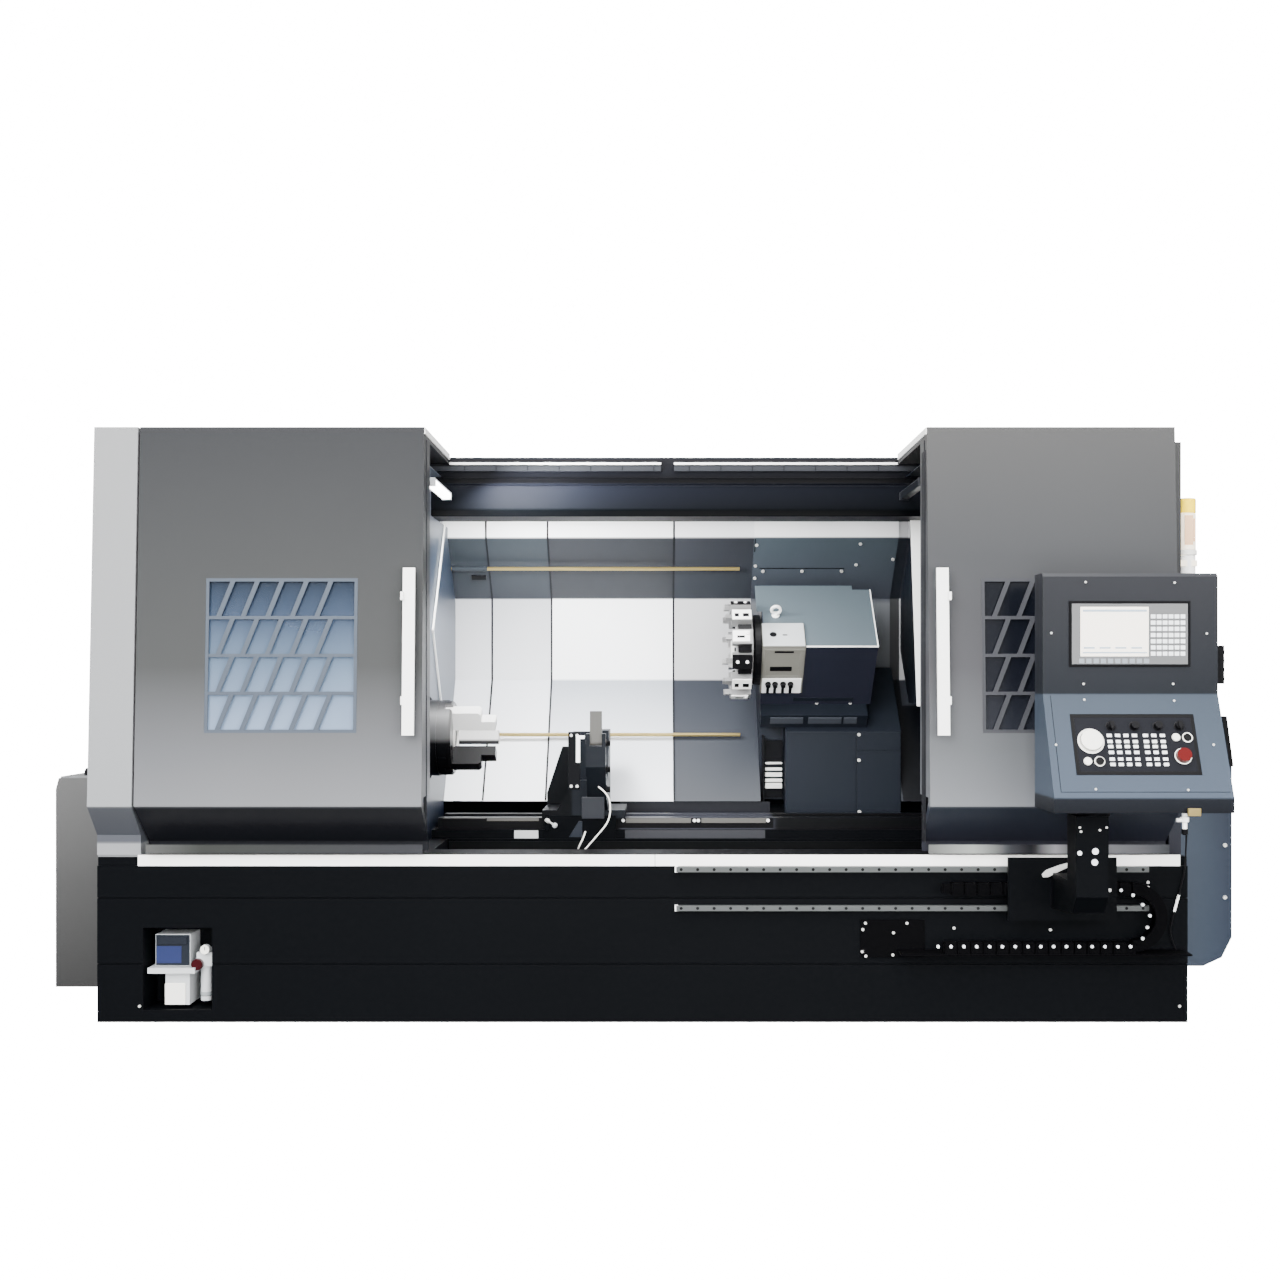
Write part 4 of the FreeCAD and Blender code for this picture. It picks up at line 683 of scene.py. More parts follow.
# --- studio ------------------------------------------------------------------------------
@dataclass
class Studio:
    """Pale floor, soft lights and a camera square to the machine's front."""

    eye_x: float = 57
    eye_y: float = -6350
    eye_z: float = 1248
    lens: float = 42.38
    shift_x: float = -0.0141
    shift_y: float = 0.032
    sensor: float = 36
    paper_glow: float = 16.0
    sweep_line: tuple = ((0.1, 0.0), (20, 0.0), (23, 0.6), (24.5, 3), (25, 16))

    def build(self) -> None:
        """Makes everything that isn't the machine."""
        self.camera()
        self.floor()
        self.lights()
        self.world()

    def camera(self) -> None:
        """Puts the camera square to the machine, with its frame shifted."""
        data = bpy.data.cameras.new("studio_camera")
        data.lens = self.lens
        data.sensor_width = self.sensor
        data.shift_x, data.shift_y = self.shift_x, self.shift_y
        data.clip_end = 100
        camera = bpy.data.objects.new("studio_camera", data)
        camera.location = Vector((self.eye_x, self.eye_y, self.eye_z)) * MM
        camera.rotation_euler = (math.radians(90), 0, 0)
        bpy.context.scene.collection.objects.link(camera)
        bpy.context.scene.camera = camera

    def floor(self) -> None:
        """A wide round floor of white paper that glows a little, so that it stays pale."""
        mesh = bmesh.new()
        half = 24
        sides = 2 * half
        rows = []
        for radius, height in self.sweep_line:
            rows.append([mesh.verts.new((radius * math.cos(k * math.pi / half),
                                         radius * math.sin(k * math.pi / half), height))
                         for k in range(sides)])
        mesh.faces.new(rows[0])
        for low, high in zip(rows, rows[1:]):
            for k in range(sides):
                j = (k + 1) % sides
                mesh.faces.new((low[k], low[j], high[j], high[k]))
        data = bpy.data.meshes.new("studio_floor")
        mesh.to_mesh(data)
        mesh.free()
        sweep = bpy.data.objects.new("studio_floor", data)
        bpy.context.scene.collection.objects.link(sweep)
        data.materials.append(Glow("studio_paper", "#FFFFFF", self.paper_glow).make())
        sweep.visible_diffuse = False
        sweep.visible_glossy = False

    def lights(self) -> None:
        """Large soft panels about the machine, and a small one inside the cabin."""
        self.panel("key_light", (-3.2, -7.0, 4.2), (0, 0, 1.1), 5.0, 1400, False)
        self.panel("fill_light", (4.2, -6.5, 2.0), (0.4, 0, 1.0), 5.0, 910, False)
        self.panel("low_light", (0, -6.0, 0.5), (0, 0.3, 1.6), 3.0, 500, False)
        self.panel("top_light", (0, -1.2, 5.4), (0, 0, 0.8), 6.0, 600, True)
        self.panel("cabin_light", (-0.55, -0.45, 1.86), (0.1, 0.35, 1.3), 0.35, 56, False)

    def panel(self, name: str, place: tuple, aim: tuple, size: float, power: float,
              mirrored: bool) -> None:
        """One square area light.

        Args:
            name: Its name.
            place: Where it stands, in metres.
            aim: The point it looks at, in metres.
            size: Its side in metres.
            power: Its power in watts.
            mirrored: Whether shiny surfaces show it.
        """
        data = bpy.data.lights.new(name, "AREA")
        data.energy, data.size = power, size
        light = bpy.data.objects.new(name, data)
        light.location = place
        light.rotation_euler = (Vector(aim) - Vector(place)).to_track_quat("-Z", "Y").to_euler()
        light.visible_glossy = mirrored
        light.visible_camera = False
        bpy.context.scene.collection.objects.link(light)

    def world(self) -> None:
        """A pale surround that is dimmer below the horizon."""
        world = bpy.data.worlds.new("studio_surround")
        world.use_nodes = True
        tree = world.node_tree
        place = add(tree, "ShaderNodeTexCoord")
        split = add(tree, "ShaderNodeSeparateXYZ", links={0: place.outputs["Generated"]})
        level = add(tree, "ShaderNodeMapRange", {"From Min": -0.35, "From Max": 0.25,
                                                 "To Min": 0.14, "To Max": 0.98},
                    {"Value": split.outputs["Z"]})
        back = tree.nodes["Background"]
        back.inputs["Color"].default_value = linear("#FFFFFF")
        tree.links.new(level.outputs[0], back.inputs["Strength"])
        bpy.context.scene.world = world


def dress_nodes() -> None:
    """Gives every CAD node its finish, and all but the panes softened edges."""
    edge = 1.2
    for name, finish in NODE_FINISH.items():
        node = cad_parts[name]
        if not node.material_slots:
            node.data.materials.append(finish.make())
        for spot in node.material_slots:
            spot.material = finish.make()
        if name not in ("left_door_glass", "right_door_glass"):
            soften(node, edge)


# --- pieces ------------------------------------------------------------------------------
# The turret's frame: from the spindle axis, up and back along the 45 degree slide.
SLANT = Matrix.Translation((0, AXIS_Y, AXIS_Z)) @ Matrix.Rotation(math.radians(45), 4, "X")
# The console's sloping face, from its upper edge.
CONSOLE = facing(0, -1200, 1204, (0, -0.9171, 0.3987))
# A frame for outlines of depth and height that are drawn out along X.
SIDE = Matrix(((0, 0, 1, 0), (1, 0, 0, 0), (0, 1, 0, 0), (0, 0, 0, 1)))


def front(y: float) -> Matrix:
    """A frame on an upright plane: X, height, and out towards the operator."""
    return facing(0, y, 0, (0, -1, 0))


def ribbon(line: list, width: float) -> list:
    """Widens an open line into a closed outline.

    Args:
        line: Points of the line.
        width: How wide the outline is, half to each side.

    Returns:
        The outline's corners.
    """
    points = [Vector(p) for p in line]
    left, right = [], []
    for k, point in enumerate(points):
        before = points[max(k - 1, 0)]
        after = points[min(k + 1, len(points) - 1)]
        along = (after - before).normalized()
        side = Vector((-along.y, along.x)) * width / 2
        left.append(tuple(point + side))
        right.append(tuple(point - side))
    return right + left[::-1]


@dataclass
class DoorTrim:
    """What is fixed to one sliding door: roof flange, handle feet, plinth, seal and a strip of
    painted shade.
    """

    side: str
    inner: float
    handle: float
    outward: int
    width: float
    plinth: float = -880
    roof_front: float = -876
    roof_back: float = -234
    roof_top: float = 2169
    flange_height: float = 24
    foot_heights: tuple = (1178, 1552)
    foot_width: float = 11
    foot_rise: float = 30
    face: float = -906
    handle_face: float = -975
    plinth_heights: tuple = (621, 654)
    seal_depths: tuple = (-838, -822)
    seal_heights: tuple = (700, 2130)
    strip_depths: tuple = (-862, -776)
    strip_heights: tuple = (660, 2090)

    def build(self) -> None:
        """Makes every piece of the door's trim."""
        body = f"{self.side}_door"
        edge = sorted((self.inner - self.outward * 4, self.inner + self.outward * 3))
        Form(f"{self.side}_door_roof_flange").block(
            (edge[0], self.roof_front, self.roof_top - self.flange_height),
            (edge[1], self.roof_back, self.roof_top)).done(Stock.WHITE_COAT, body, 1.0)
        feet = Form(f"{self.side}_handle_feet")
        for height in self.foot_heights:
            span = sorted((self.handle, self.handle + self.outward * self.foot_width))
            feet.block((span[0], height - self.foot_rise / 2, -self.face - 4),
                       (span[1], height + self.foot_rise / 2, -self.handle_face), front(0))
        feet.done(Stock.WHITE_COAT, body, 1.5)
        span = sorted((self.inner, self.inner + self.outward * (self.width - 14)))
        low, high = self.plinth_heights
        Form(f"{self.side}_door_plinth").block((span[0] + 6, low, 0), (span[1] - 6, high, 1.5),
                                               front(self.plinth)).done(Stock.FOOT, body, 0.4)
        seal = sorted((self.inner - self.outward * 2, self.inner + self.outward * 10))
        Form(f"{self.side}_door_seal").block(
            (seal[0], self.seal_depths[0], self.seal_heights[0]),
            (seal[1], self.seal_depths[1], self.seal_heights[1])).done(Stock.RUBBER, body, 2.0)
        if self.side == "right":
            # The strip is a thin dark sheet over the door's inner side: painted shade.
            Form("right_door_edge_shade_strip").block(
                (seal[0] + 1, self.strip_depths[0], self.strip_heights[0]),
                (seal[0] + 1.8, self.strip_depths[1], self.strip_heights[1])).done(
                Stock.RUBBER, body, 0.3)


@dataclass
class Enclosure:
    """Trim of the fixed housing: wall edges, lights, tracks, ledges and way plates."""

    head_wall: float = -863
    tail_wall: float = 1161
    head_edge: tuple = ((159, 1952), (-215, 1455), (10, 1168))
    tail_edge: tuple = ((0, 1926), (-162, 1144))
    tail_flange: float = 40
    track_y: float = -235
    track_spans: tuple = ((-790, 69), (122, 1030))
    joint_pitch: float = 128
    ways_face: float = -170
    step_face: float = -200
    skirt_face: float = 160
    scale_top: float = 686
    lit_tube: float = -822
    dark_tube: float = 1040
    tube_width: float = 38
    tube_ends: tuple = (-655, -229)
    rail_face: float = -220

    def build(self) -> None:
        """Makes every piece of the housing's trim."""
        self.walls()
        self.lights()
        self.tracks()
        self.beam()
        self.ways()

    def ways(self) -> None:
        """Scale strips, a skirt of painted shade under the covers and step plates along the
        lower ways.
        """
        at = front(self.ways_face)
        Form("way_scale_backs").block((-830, 645, 0), (-415, 686.5, 1.2), at).block(
            (-112, 645, 0), (530, 686.5, 1.2), at).done(Stock.NYLON, "machine", 0.0)
        scales = Form("way_scales")
        for left, right, low in ((-645, -432, 674), (-825, -650, 683), (-75, 192, 666),
                                 (235, 500, 666)):
            scales.block((left, low, 1), (right, self.scale_top, 2.4), at)
        scales.done(Stock.SCALE, "machine", 0.3)
        # Painted shade: a dark sheet under the covers' foot, where the way top lies in shadow.
        Form("cover_foot_skirt").block((-108, 660, 0), (540, 727, 2),
                                       front(self.skirt_face)).done(
            Stock.FOOT_SKIRT, "machine", 0.3)
        step = front(self.step_face)
        Form("way_step_plates").block((-78, 606, 0), (494, 640, 1.5), step).done(
            Stock.STEP, "machine", 0.3)
        Form("way_pale_plate").block((-530, 606, 0), (-432, 638, 1.5), step).done(
            Stock.PALE_ABS, "machine", 0.3)
        screws = Form("way_scale_screws")
        for x in (-86, 206, 222, 508):
            screws.lathe(screw_profile(7, 3),
                         facing(x, self.ways_face - 1, 676, (0, -1, 0)), 12)
        screws.done(Stock.WHITE_COAT, "machine", 0.2)

    def walls(self) -> None:
        """The chuck guard's bright edge and screws, and the tail guard's white post."""
        Form("head_wall_edge").prism(ribbon(list(self.head_edge), 12), self.head_wall,
                                     self.head_wall + 7, SIDE).done(
            Stock.WHITE_COAT, "machine", 1.0)
        Form("tail_wall_post").prism(
            ribbon([(y + 8, z) for y, z in self.tail_edge], 6),
            self.tail_wall - self.tail_flange, self.tail_wall + 27, SIDE).done(
            Stock.WHITE_COAT, "machine", 1.0)
        screws = Form("wall_screws")
        for y, z in ((-500, 1900), (-500, 1300), (-500, 760), (-640, 1600)):
            screws.lathe(screw_profile(7, 5), facing(self.head_wall, y, z, (1, 0, 0)), 12)
        screws.done(Stock.GROUND, "machine", 0.3)

    def lights(self) -> None:
        """The work lights: the left tube is lit and the right one is off."""
        near, far = self.tube_ends
        wide = self.tube_width
        for side, x, finish in (("left", self.lit_tube, Stock.TUBE),
                                ("right", self.dark_tube, Stock.DARK_TUBE)):
            tube = Form(f"{side}_light_tube").block((x, near, 1985), (x + wide, far, 2012))
            made = tube.done(finish, "machine", 8.0)
            ends = Form(f"{side}_light_ends")
            for y in (near - 17, far):
                ends.block((x - 1, y, 1984), (x + wide + 1, y + 17, 2015))
            stay = (-866, x + 5) if side == "left" else (1067, 1077)
            reach = (-452, -422) if side == "left" else (-732, -667)
            ends.block((stay[0], reach[0], 1993), (stay[1], reach[1], 2005))
            ends.block((x, near, 2010), (x + wide, far, 2015))
            fittings = ends.done(Stock.PALE_ABS if side == "left" else Stock.TRACK, "machine",
                                 1.0)
            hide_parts("work_lights")
            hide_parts("work_lights")

    def tracks(self) -> None:
        """A white dust rail over the door tracks, and the tracks' joint lines."""
        rail = Form("track_dust_rail")
        lines = Form("track_joints")
        for left, right in self.track_spans:
            rail.block((left, 2126, 0), (right, 2136, 10), front(self.rail_face))
            x = left + 60
            while x < right - 20:
                lines.block((x, 2101, 0), (x + 4, 2119, 0.3), front(self.track_y))
                x += self.joint_pitch
        rail.done(Stock.WHITE_COAT, "machine", 0.8)
        lines.done(Stock.BLACKED, "machine", 0.0)

    def beam(self) -> None:
        """Two folded ledges along the beam that catch the light."""
        ledges = Form("beam_ledges")
        for y, z, deep in ((-220, 2070, 5), (-208, 2040, 4)):
            ledges.block((-826, z, 0), (1066, z + 4, deep), front(y))
        ledges.done(Stock.BEAM_PAINT, "machine", 1.5)


@dataclass
class WayCovers:
    """Wiper lips on the telescopic covers, the rods' sleeves, a catch and a shaded end."""

    profile: tuple = ((294, 1968), (294, 1879), (550, 1623), (550, 1253), (171, 731))
    layer: float = 6
    sheet: float = 3
    lip: float = 7
    rods: tuple = ((376, 1749), (326, 1010))
    head_wall: float = -863
    shade_fold: tuple = (465, 1136)
    shade_span: tuple = (1114.5, 1157, 1576)

    def build(self) -> None:
        """Makes the lips, the sleeves, the catch and the shaded end."""
        for name, x, layer, body in (("second", -704, 1, "machine"),
                                     ("middle", -432, 2, "middle_cover"),
                                     ("saddle", 124, 3, "saddle")):
            self.wiper(name, x, layer, body)
        # The sleeves take the left cover's painted light and shade by height.
        sleeves = Form("rod_sleeves")
        for y, z in self.rods:
            sleeves.lathe([(11, 0), (11, 150), (9, 153), (9, 158)],
                          facing(self.head_wall, y, z, (1, 0, 0)), 20)
        sleeves.done(Stock.COVER_LEFT, "machine", 0.5)
        Form("cover_catch").block((-778, -12, 0), (-712, 12, 7),
                                  facing(0, 404, 1714, (0, -1, -1))).done(
            Stock.NYLON, "machine", 1.0)
        self.shade()

    def shade(self) -> None:
        """Painted shade: a dark sheet over the saddle cover's end, and its lower fold past the
        tail wall.
        """
        near = self.layer * 3 + self.sheet
        thick = 1.2
        outer = [(y - near - thick, z) for y, z in self.profile]
        inner = [(y - near, z) for y, z in reversed(self.profile)]
        fold = [(y - near, z) for y, z in (self.shade_fold, self.profile[-1])]
        left, middle, right = self.shade_span
        Form("saddle_cover_shade").prism(outer + inner, left, middle, SIDE).prism(
            ribbon(fold, thick), middle, right, SIDE).done(Stock.COVER_TAIL, "saddle", 0.0)

    def wiper(self, name: str, x: float, layer: int, body: str) -> None:
        """A rubber lip that follows the cover's folds.

        Args:
            name: The cover's name.
            x: The cover's leading edge.
            layer: How many sheets lie under it.
            body: The body that it rides on.
        """
        near = self.layer * layer + self.sheet
        outer = [(y - near - 1.6, z) for y, z in self.profile]
        inner = [(y - near + 0.4, z) for y, z in reversed(self.profile)]
        Form(f"{name}_cover_wiper").prism(outer + inner, x - 1, x + self.lip, SIDE).done(
            Stock.RUBBER, body, 0.0)


@dataclass
class SaddleTrim:
    """Sheets, screws and wiper leaves on the saddle, and plates on the turret's slide."""

    apron_y: float = 173
    leaf_y: float = 262
    slope_sum: float = 2146
    slide_end: float = 330
    leaf_bands: tuple = ((885, 894), (857, 870), (830, 849), (807, 822), (779, 803))
    hood_screws: tuple = ((492, 1848), (492, 1763), (492, 1712), (527, 1741), (702, 1741),
                          (880, 1741), (949, 1853), (941, 1768), (1102, 1790))

    def build(self) -> None:
        """Makes every piece of the saddle's trim."""
        self.apron()
        self.leaves()
        self.hood()
        self.ways()

    def apron(self) -> None:
        """Three cover sheets with gaps between them, and their screws."""
        sheets = Form("apron_sheets")
        at = front(self.apron_y)
        for low, high in (((610, 650), (914, 1026)), ((918, 650), (1106, 944)),
                          ((918, 948), (1106, 1026))):
            sheets.block((*low, 0), (*high, 3), at)
        sheets.done(Stock.SLATE_PAINT, "saddle", 1.0)
        screws = Form("apron_screws")
        for x, z in ((926, 1016), (926, 905), (928, 682)):
            screws.lathe(screw_profile(7.5, 5), facing(x, self.apron_y - 3, z, (0, -1, 0)), 14)
        screws.done(Stock.GROUND, "saddle", 0.3)

    def leaves(self) -> None:
        """Bright steel leaves of the folded way guard, stacked beside the apron."""
        at = front(self.leaf_y)
        stack = Form("way_guard_leaves")
        for low, high in self.leaf_bands:
            stack.block((524, low, 0), (598, high, 46), at)
        stack.done(Stock.GROUND, "saddle", 2.5)
        holder = Form("way_guard_frame")
        for low, high in ((898, 990), (740, 775)):
            holder.block((522, low, 0), (600, high, 30), at)
        holder.block((512, 700, 0), (522, 1010, 52), at)
        holder.done(Stock.BLACKED, "saddle", 1.5)

    def hood(self) -> None:
        """Screws along the hood's 45 degree slope and the joint line above the turret."""
        screws = Form("hood_screws")
        for x, z in self.hood_screws:
            at = facing(x, self.slope_sum - z, z, (0, -1, -1))
            screws.lathe(screw_profile(7.5, 5), at, 14)
        screws.done(Stock.GROUND, "saddle", 0.3)
        joint = Form("hood_joint_strip")
        height = 1752
        at = facing(0, self.slope_sum - height, height, (0, -1, -1))
        joint.block((510, -2, 0), (890, 2, 1.5), at)
        joint.block((483, 96, 0), (487, 170, 1.5), at)
        joint.done(Stock.BLACKED, "saddle", 0.0)

    def ways(self) -> None:
        """Three grey plates on the slide's lower end, and two screws above them."""
        strips = Form("slide_end_plates")
        at = SLANT @ facing(0, self.slide_end, 0, (0, -1, 0))
        for left, right in ((541, 683), (705, 848), (858, 915)):
            strips.block((left, -262, 0), (right, -226, 5), at)
        strips.done(Stock.SLIDE_PLATE, "turret_slide", 1.0)
        screws = Form("slide_end_screws")
        for x in (745, 890):
            screws.lathe(screw_profile(7, 5), SLANT @ facing(x, 400, -213, (0, 0, 1)), 12)
        screws.done(Stock.GROUND, "turret_slide", 0.3)


@dataclass
class TurretTrim:
    """Lids, clamp bolts, lifting eye and the details of disc and tool holders.

    Places are in the slanted frame: X, then up and back along the slide, then out from it.
    """

    stations: int = 12
    low: float = 400
    high: float = 785
    top: float = 128
    head_low: float = 393
    head_top: float = 136
    bolts: tuple = (526, 556, 590, 622)
    disc_u: float = 513
    flat: float = 165
    rim: float = 205

    def build(self) -> None:
        """Makes every piece of the turret's trim."""
        self.lid()
        self.head()
        self.eye()
        self.ring()
        self.holders()
        self.disc_face()

    def lid(self) -> None:
        """The lid, paler as painted light, and a painted highlight along its front edge."""
        outline = [(676, self.low + 3), (974, self.low + 3), (974, self.high - 29),
                   (900, self.high - 29), (900, self.high - 3), (478, self.high - 3),
                   (478, 616), (503, 616), (503, 538), (676, 538)]
        Form("housing_lid").prism(outline, self.top, self.top + 2.5, SLANT).done(
            Stock.LID_PAINT, "turret_slide", 1.0)
        # A white strip along the lid's front and side edges: a painted highlight.
        edge = Form("housing_edge_highlight")
        edge.block((677, self.low - 2, self.top - 4), (979, self.low + 3, self.top + 3), SLANT)
        edge.block((974, self.low, self.top - 3), (979, self.high - 28, self.top + 3), SLANT)
        edge.done(Stock.WHITE_COAT, "turret_slide", 1.0)
        band = Form("housing_foot_band")
        band.block((640, self.low - 3, -196), (900, self.low + 1, -176), SLANT)
        band.done(Stock.SLATE_PAINT, "turret_slide", 1.0)

    def head(self) -> None:
        """The head's lid, pale as painted light, its front recess, slot and four black clamp
        bolts.
        """
        # The lid is paler than the cream head: painted light on the head's upward face.
        Form("head_lid").block((496, self.head_low + 2, self.head_top),
                               (672, 533, self.head_top + 3), SLANT).done(
            Stock.PALE_ABS, "turret_slide", 2.0)
        at = SLANT @ facing(0, self.head_low, 0, (0, -1, 0))
        rim = Form("head_front_rim")
        rim.block((500, 100, 0), (668, 122, 2.5), at).block((500, -36, 0), (512, 100, 2.5), at)
        rim.block((652, -36, 0), (668, 100, 2.5), at).block((500, -48, 0), (668, -36, 2.5), at)
        rim.done(Stock.CREAM, "turret_slide", 1.2)
        Form("head_slot").block((530, -6, 0), (622, 18, 3), at).block(
            (545, 101, 2), (625, 111, 4), at).done(Stock.NYLON, "turret_slide", 2.0)
        Form("head_clamp_plate").block((500, -136, 0), (668, -50, 6), at).done(
            Stock.WHITE_COAT, "turret_slide", 2.0)
        clamps = Form("head_clamp_bolts")
        for x in self.bolts:
            clamps.lathe([(13, 0), (13, 6), (10, 8), (10, 20), (5, 21), (5, 14), (0, 14)],
                         at @ Matrix.Translation((x, -78, 6)), 16)
            clamps.block((x - 6, -130, 5), (x + 6, -88, 14), at)
        clamps.done(Stock.NYLON, "turret_slide", 1.0)

    def eye(self) -> None:
        """A lifting eye screwed in behind the head, and an index mark on the head's lid."""
        eye = Form("lifting_eye")
        at = SLANT @ Matrix.Translation((558, 588, self.top + 2))
        eye.lathe([(17, 0), (17, 6), (9, 9), (9, 14), (0, 14)], at, 20)
        rounds = 16
        for k in range(rounds):
            turn = at @ Matrix.Translation((0, 0, 34)) @ Matrix.Rotation(
                2 * math.pi * k / rounds, 4, "Y")
            eye.block((14, -6, -5.2), (24, 6, 5.2), turn)
        eye.done(Stock.WHITE_COAT, "turret_slide", 2.0)
        Form("head_index_mark").lathe(
            [(15, 0), (15, 1.5), (11, 1.5), (11, 0.4), (0, 0.4)],
            SLANT @ Matrix.Translation((541, 462, self.head_top + 3)), 24).block(
            (580, 456, self.head_top + 3), (600, 462, self.head_top + 4), SLANT).done(
            Stock.NYLON, "turret_slide", 0.3)

    def ring(self) -> None:
        """The black back plate between the turning disc and the head."""
        at = SLANT @ facing(462, self.disc_u, 0, (1, 0, 0))
        Form("turret_back_plate").lathe(
            [(94, 0), (146, 0), (150, 4), (150, 30), (94, 30)], at, 48).done(
            Stock.NYLON, "turret_slide", 1.0)

    def holders(self) -> None:
        """Clamp wedges between the holders, square ports, screws and tool tips."""
        wedges = Form("holder_wedges")
        ports = Form("holder_ports")
        caps = Form("holder_screws")
        bits = Form("carbide_tips")
        pads = Form("holder_faces")
        pitch = 360 / self.stations
        for k in range(self.stations):
            turn = SLANT @ Matrix.Translation((0, self.disc_u, 0)) @ Matrix.Rotation(
                math.radians(pitch * k), 4, "X")
            half = turn @ Matrix.Rotation(math.radians(pitch / 2), 4, "X")
            wedges.block((392, -13, self.flat + 3), (448, 13, self.flat + 21), half)
            top = turn @ Matrix.Translation((0, 0, self.rim))
            if k % 3 == 0:
                pads.block((368, -29, 0), (449, 29, 4), top)
                ports.block((378, -15, 3), (396, 5, 5), top).block((412, -15, 3),
                                                                    (438, 5, 5), top)
            elif k % 3 == 1:
                pads.block((368, -24, 0), (440, 24, 6), top)
                ports.block((386, -8, 5), (418, 2, 7), top)
                caps.lathe(screw_profile(7, 5), top @ Matrix.Translation((430, 12, 6)), 12)
            else:
                ports.block((366, -31, 0), (450, 31, 3), top)
                for x in (388, 428):
                    caps.lathe(screw_profile(7, 5), top @ Matrix.Translation((x, 0, 3)), 12)
            bits.lathe([(8, 0), (8, 6), (4, 9), (0, 9)],
                       turn @ facing(366, 0, self.rim - 18, (-1, 0, 0)), 6)
        wedges.done(Stock.NYLON, "turret", 1.0)
        ports.done(Stock.NYLON, "turret", 1.0)
        caps.done(Stock.WHITE_COAT, "turret", 0.3)
        bits.done(Stock.BLACKED, "turret", 0.3)
        pads.done(Stock.WHITE_COAT, "turret", 1.5)

    def disc_face(self) -> None:
        """Bolts and the cap on the disc's free face."""
        at = SLANT @ facing(385, self.disc_u, 0, (-1, 0, 0))
        face = Form("disc_cap").lathe([(62, 0), (62, 10), (54, 14), (20, 14), (18, 9),
                                       (0, 9)], at, 40)
        face.done(Stock.GROUND, "turret", 1.0)
        bolts = Form("disc_bolts")
        pitch = 360 / self.stations
        for k in range(self.stations):
            turn = at @ Matrix.Rotation(math.radians(pitch * k + pitch / 2), 4, "Z")
            bolts.lathe(screw_profile(9, 6), turn @ Matrix.Translation((110, 0, 0)), 12)
        bolts.done(Stock.BLACKED, "turret", 0.3)


@dataclass
class ChuckTrim:
    """Screws, pilot ring and scale lines of the three-jaw chuck."""

    jaws: int = 3
    face: float = -765
    screw_circle: float = 112

    def build(self) -> None:
        """Makes the chuck's small parts."""
        at = facing(self.face, AXIS_Y, AXIS_Z, (1, 0, 0))
        Form("chuck_pilot_ring").lathe(
            [(47, -2), (47, 5), (52, 9), (58, 9), (62, 4), (62, -2)], at, 40).done(
            Stock.GROUND, "spindle", 0.6)
        screws = Form("chuck_body_screws")
        lines = Form("chuck_scale_lines")
        pitch = 360 / self.jaws
        for k in range(self.jaws):
            turn = at @ Matrix.Rotation(math.radians(pitch * k + pitch / 2), 4, "Z")
            for side in (-1, 1):
                screws.lathe(screw_profile(10, 3), turn @ Matrix.Translation(
                    (self.screw_circle, side * 24, -0.5)), 16)
            lines.block((140, -3, -50), (151.5, 3, -20), turn)
        screws.done(Stock.BLACKED, "spindle", 0.3)
        lines.done(Stock.BLACKED, "spindle", 0.3)


def bent_pipe(name: str, line: list, radius: float, finish: Finish, body: str) -> None:
    """A formed pipe along a smooth line.

    Args:
        name: The piece's name.
        line: Points in mm.
        radius: The pipe's radius.
        finish: Its finish.
        body: The body that it rides on.
    """
    curve = bpy.data.curves.new(name, "CURVE")
    curve.dimensions = "3D"
    curve.bevel_depth = radius * MM
    curve.bevel_resolution = 4
    spline = curve.splines.new("NURBS")
    spline.points.add(len(line) - 1)
    for point, place in zip(spline.points, line):
        point.co = (*(Vector(place) * MM), 1)
    spline.use_endpoint_u = True
    spline.order_u = 3
    piece = bpy.data.objects.new(name, curve)
    bpy.context.scene.collection.objects.link(piece)
    piece.data.materials.append(finish.make())
    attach(piece, body)
    LOG.info("%s on %s", name, body)


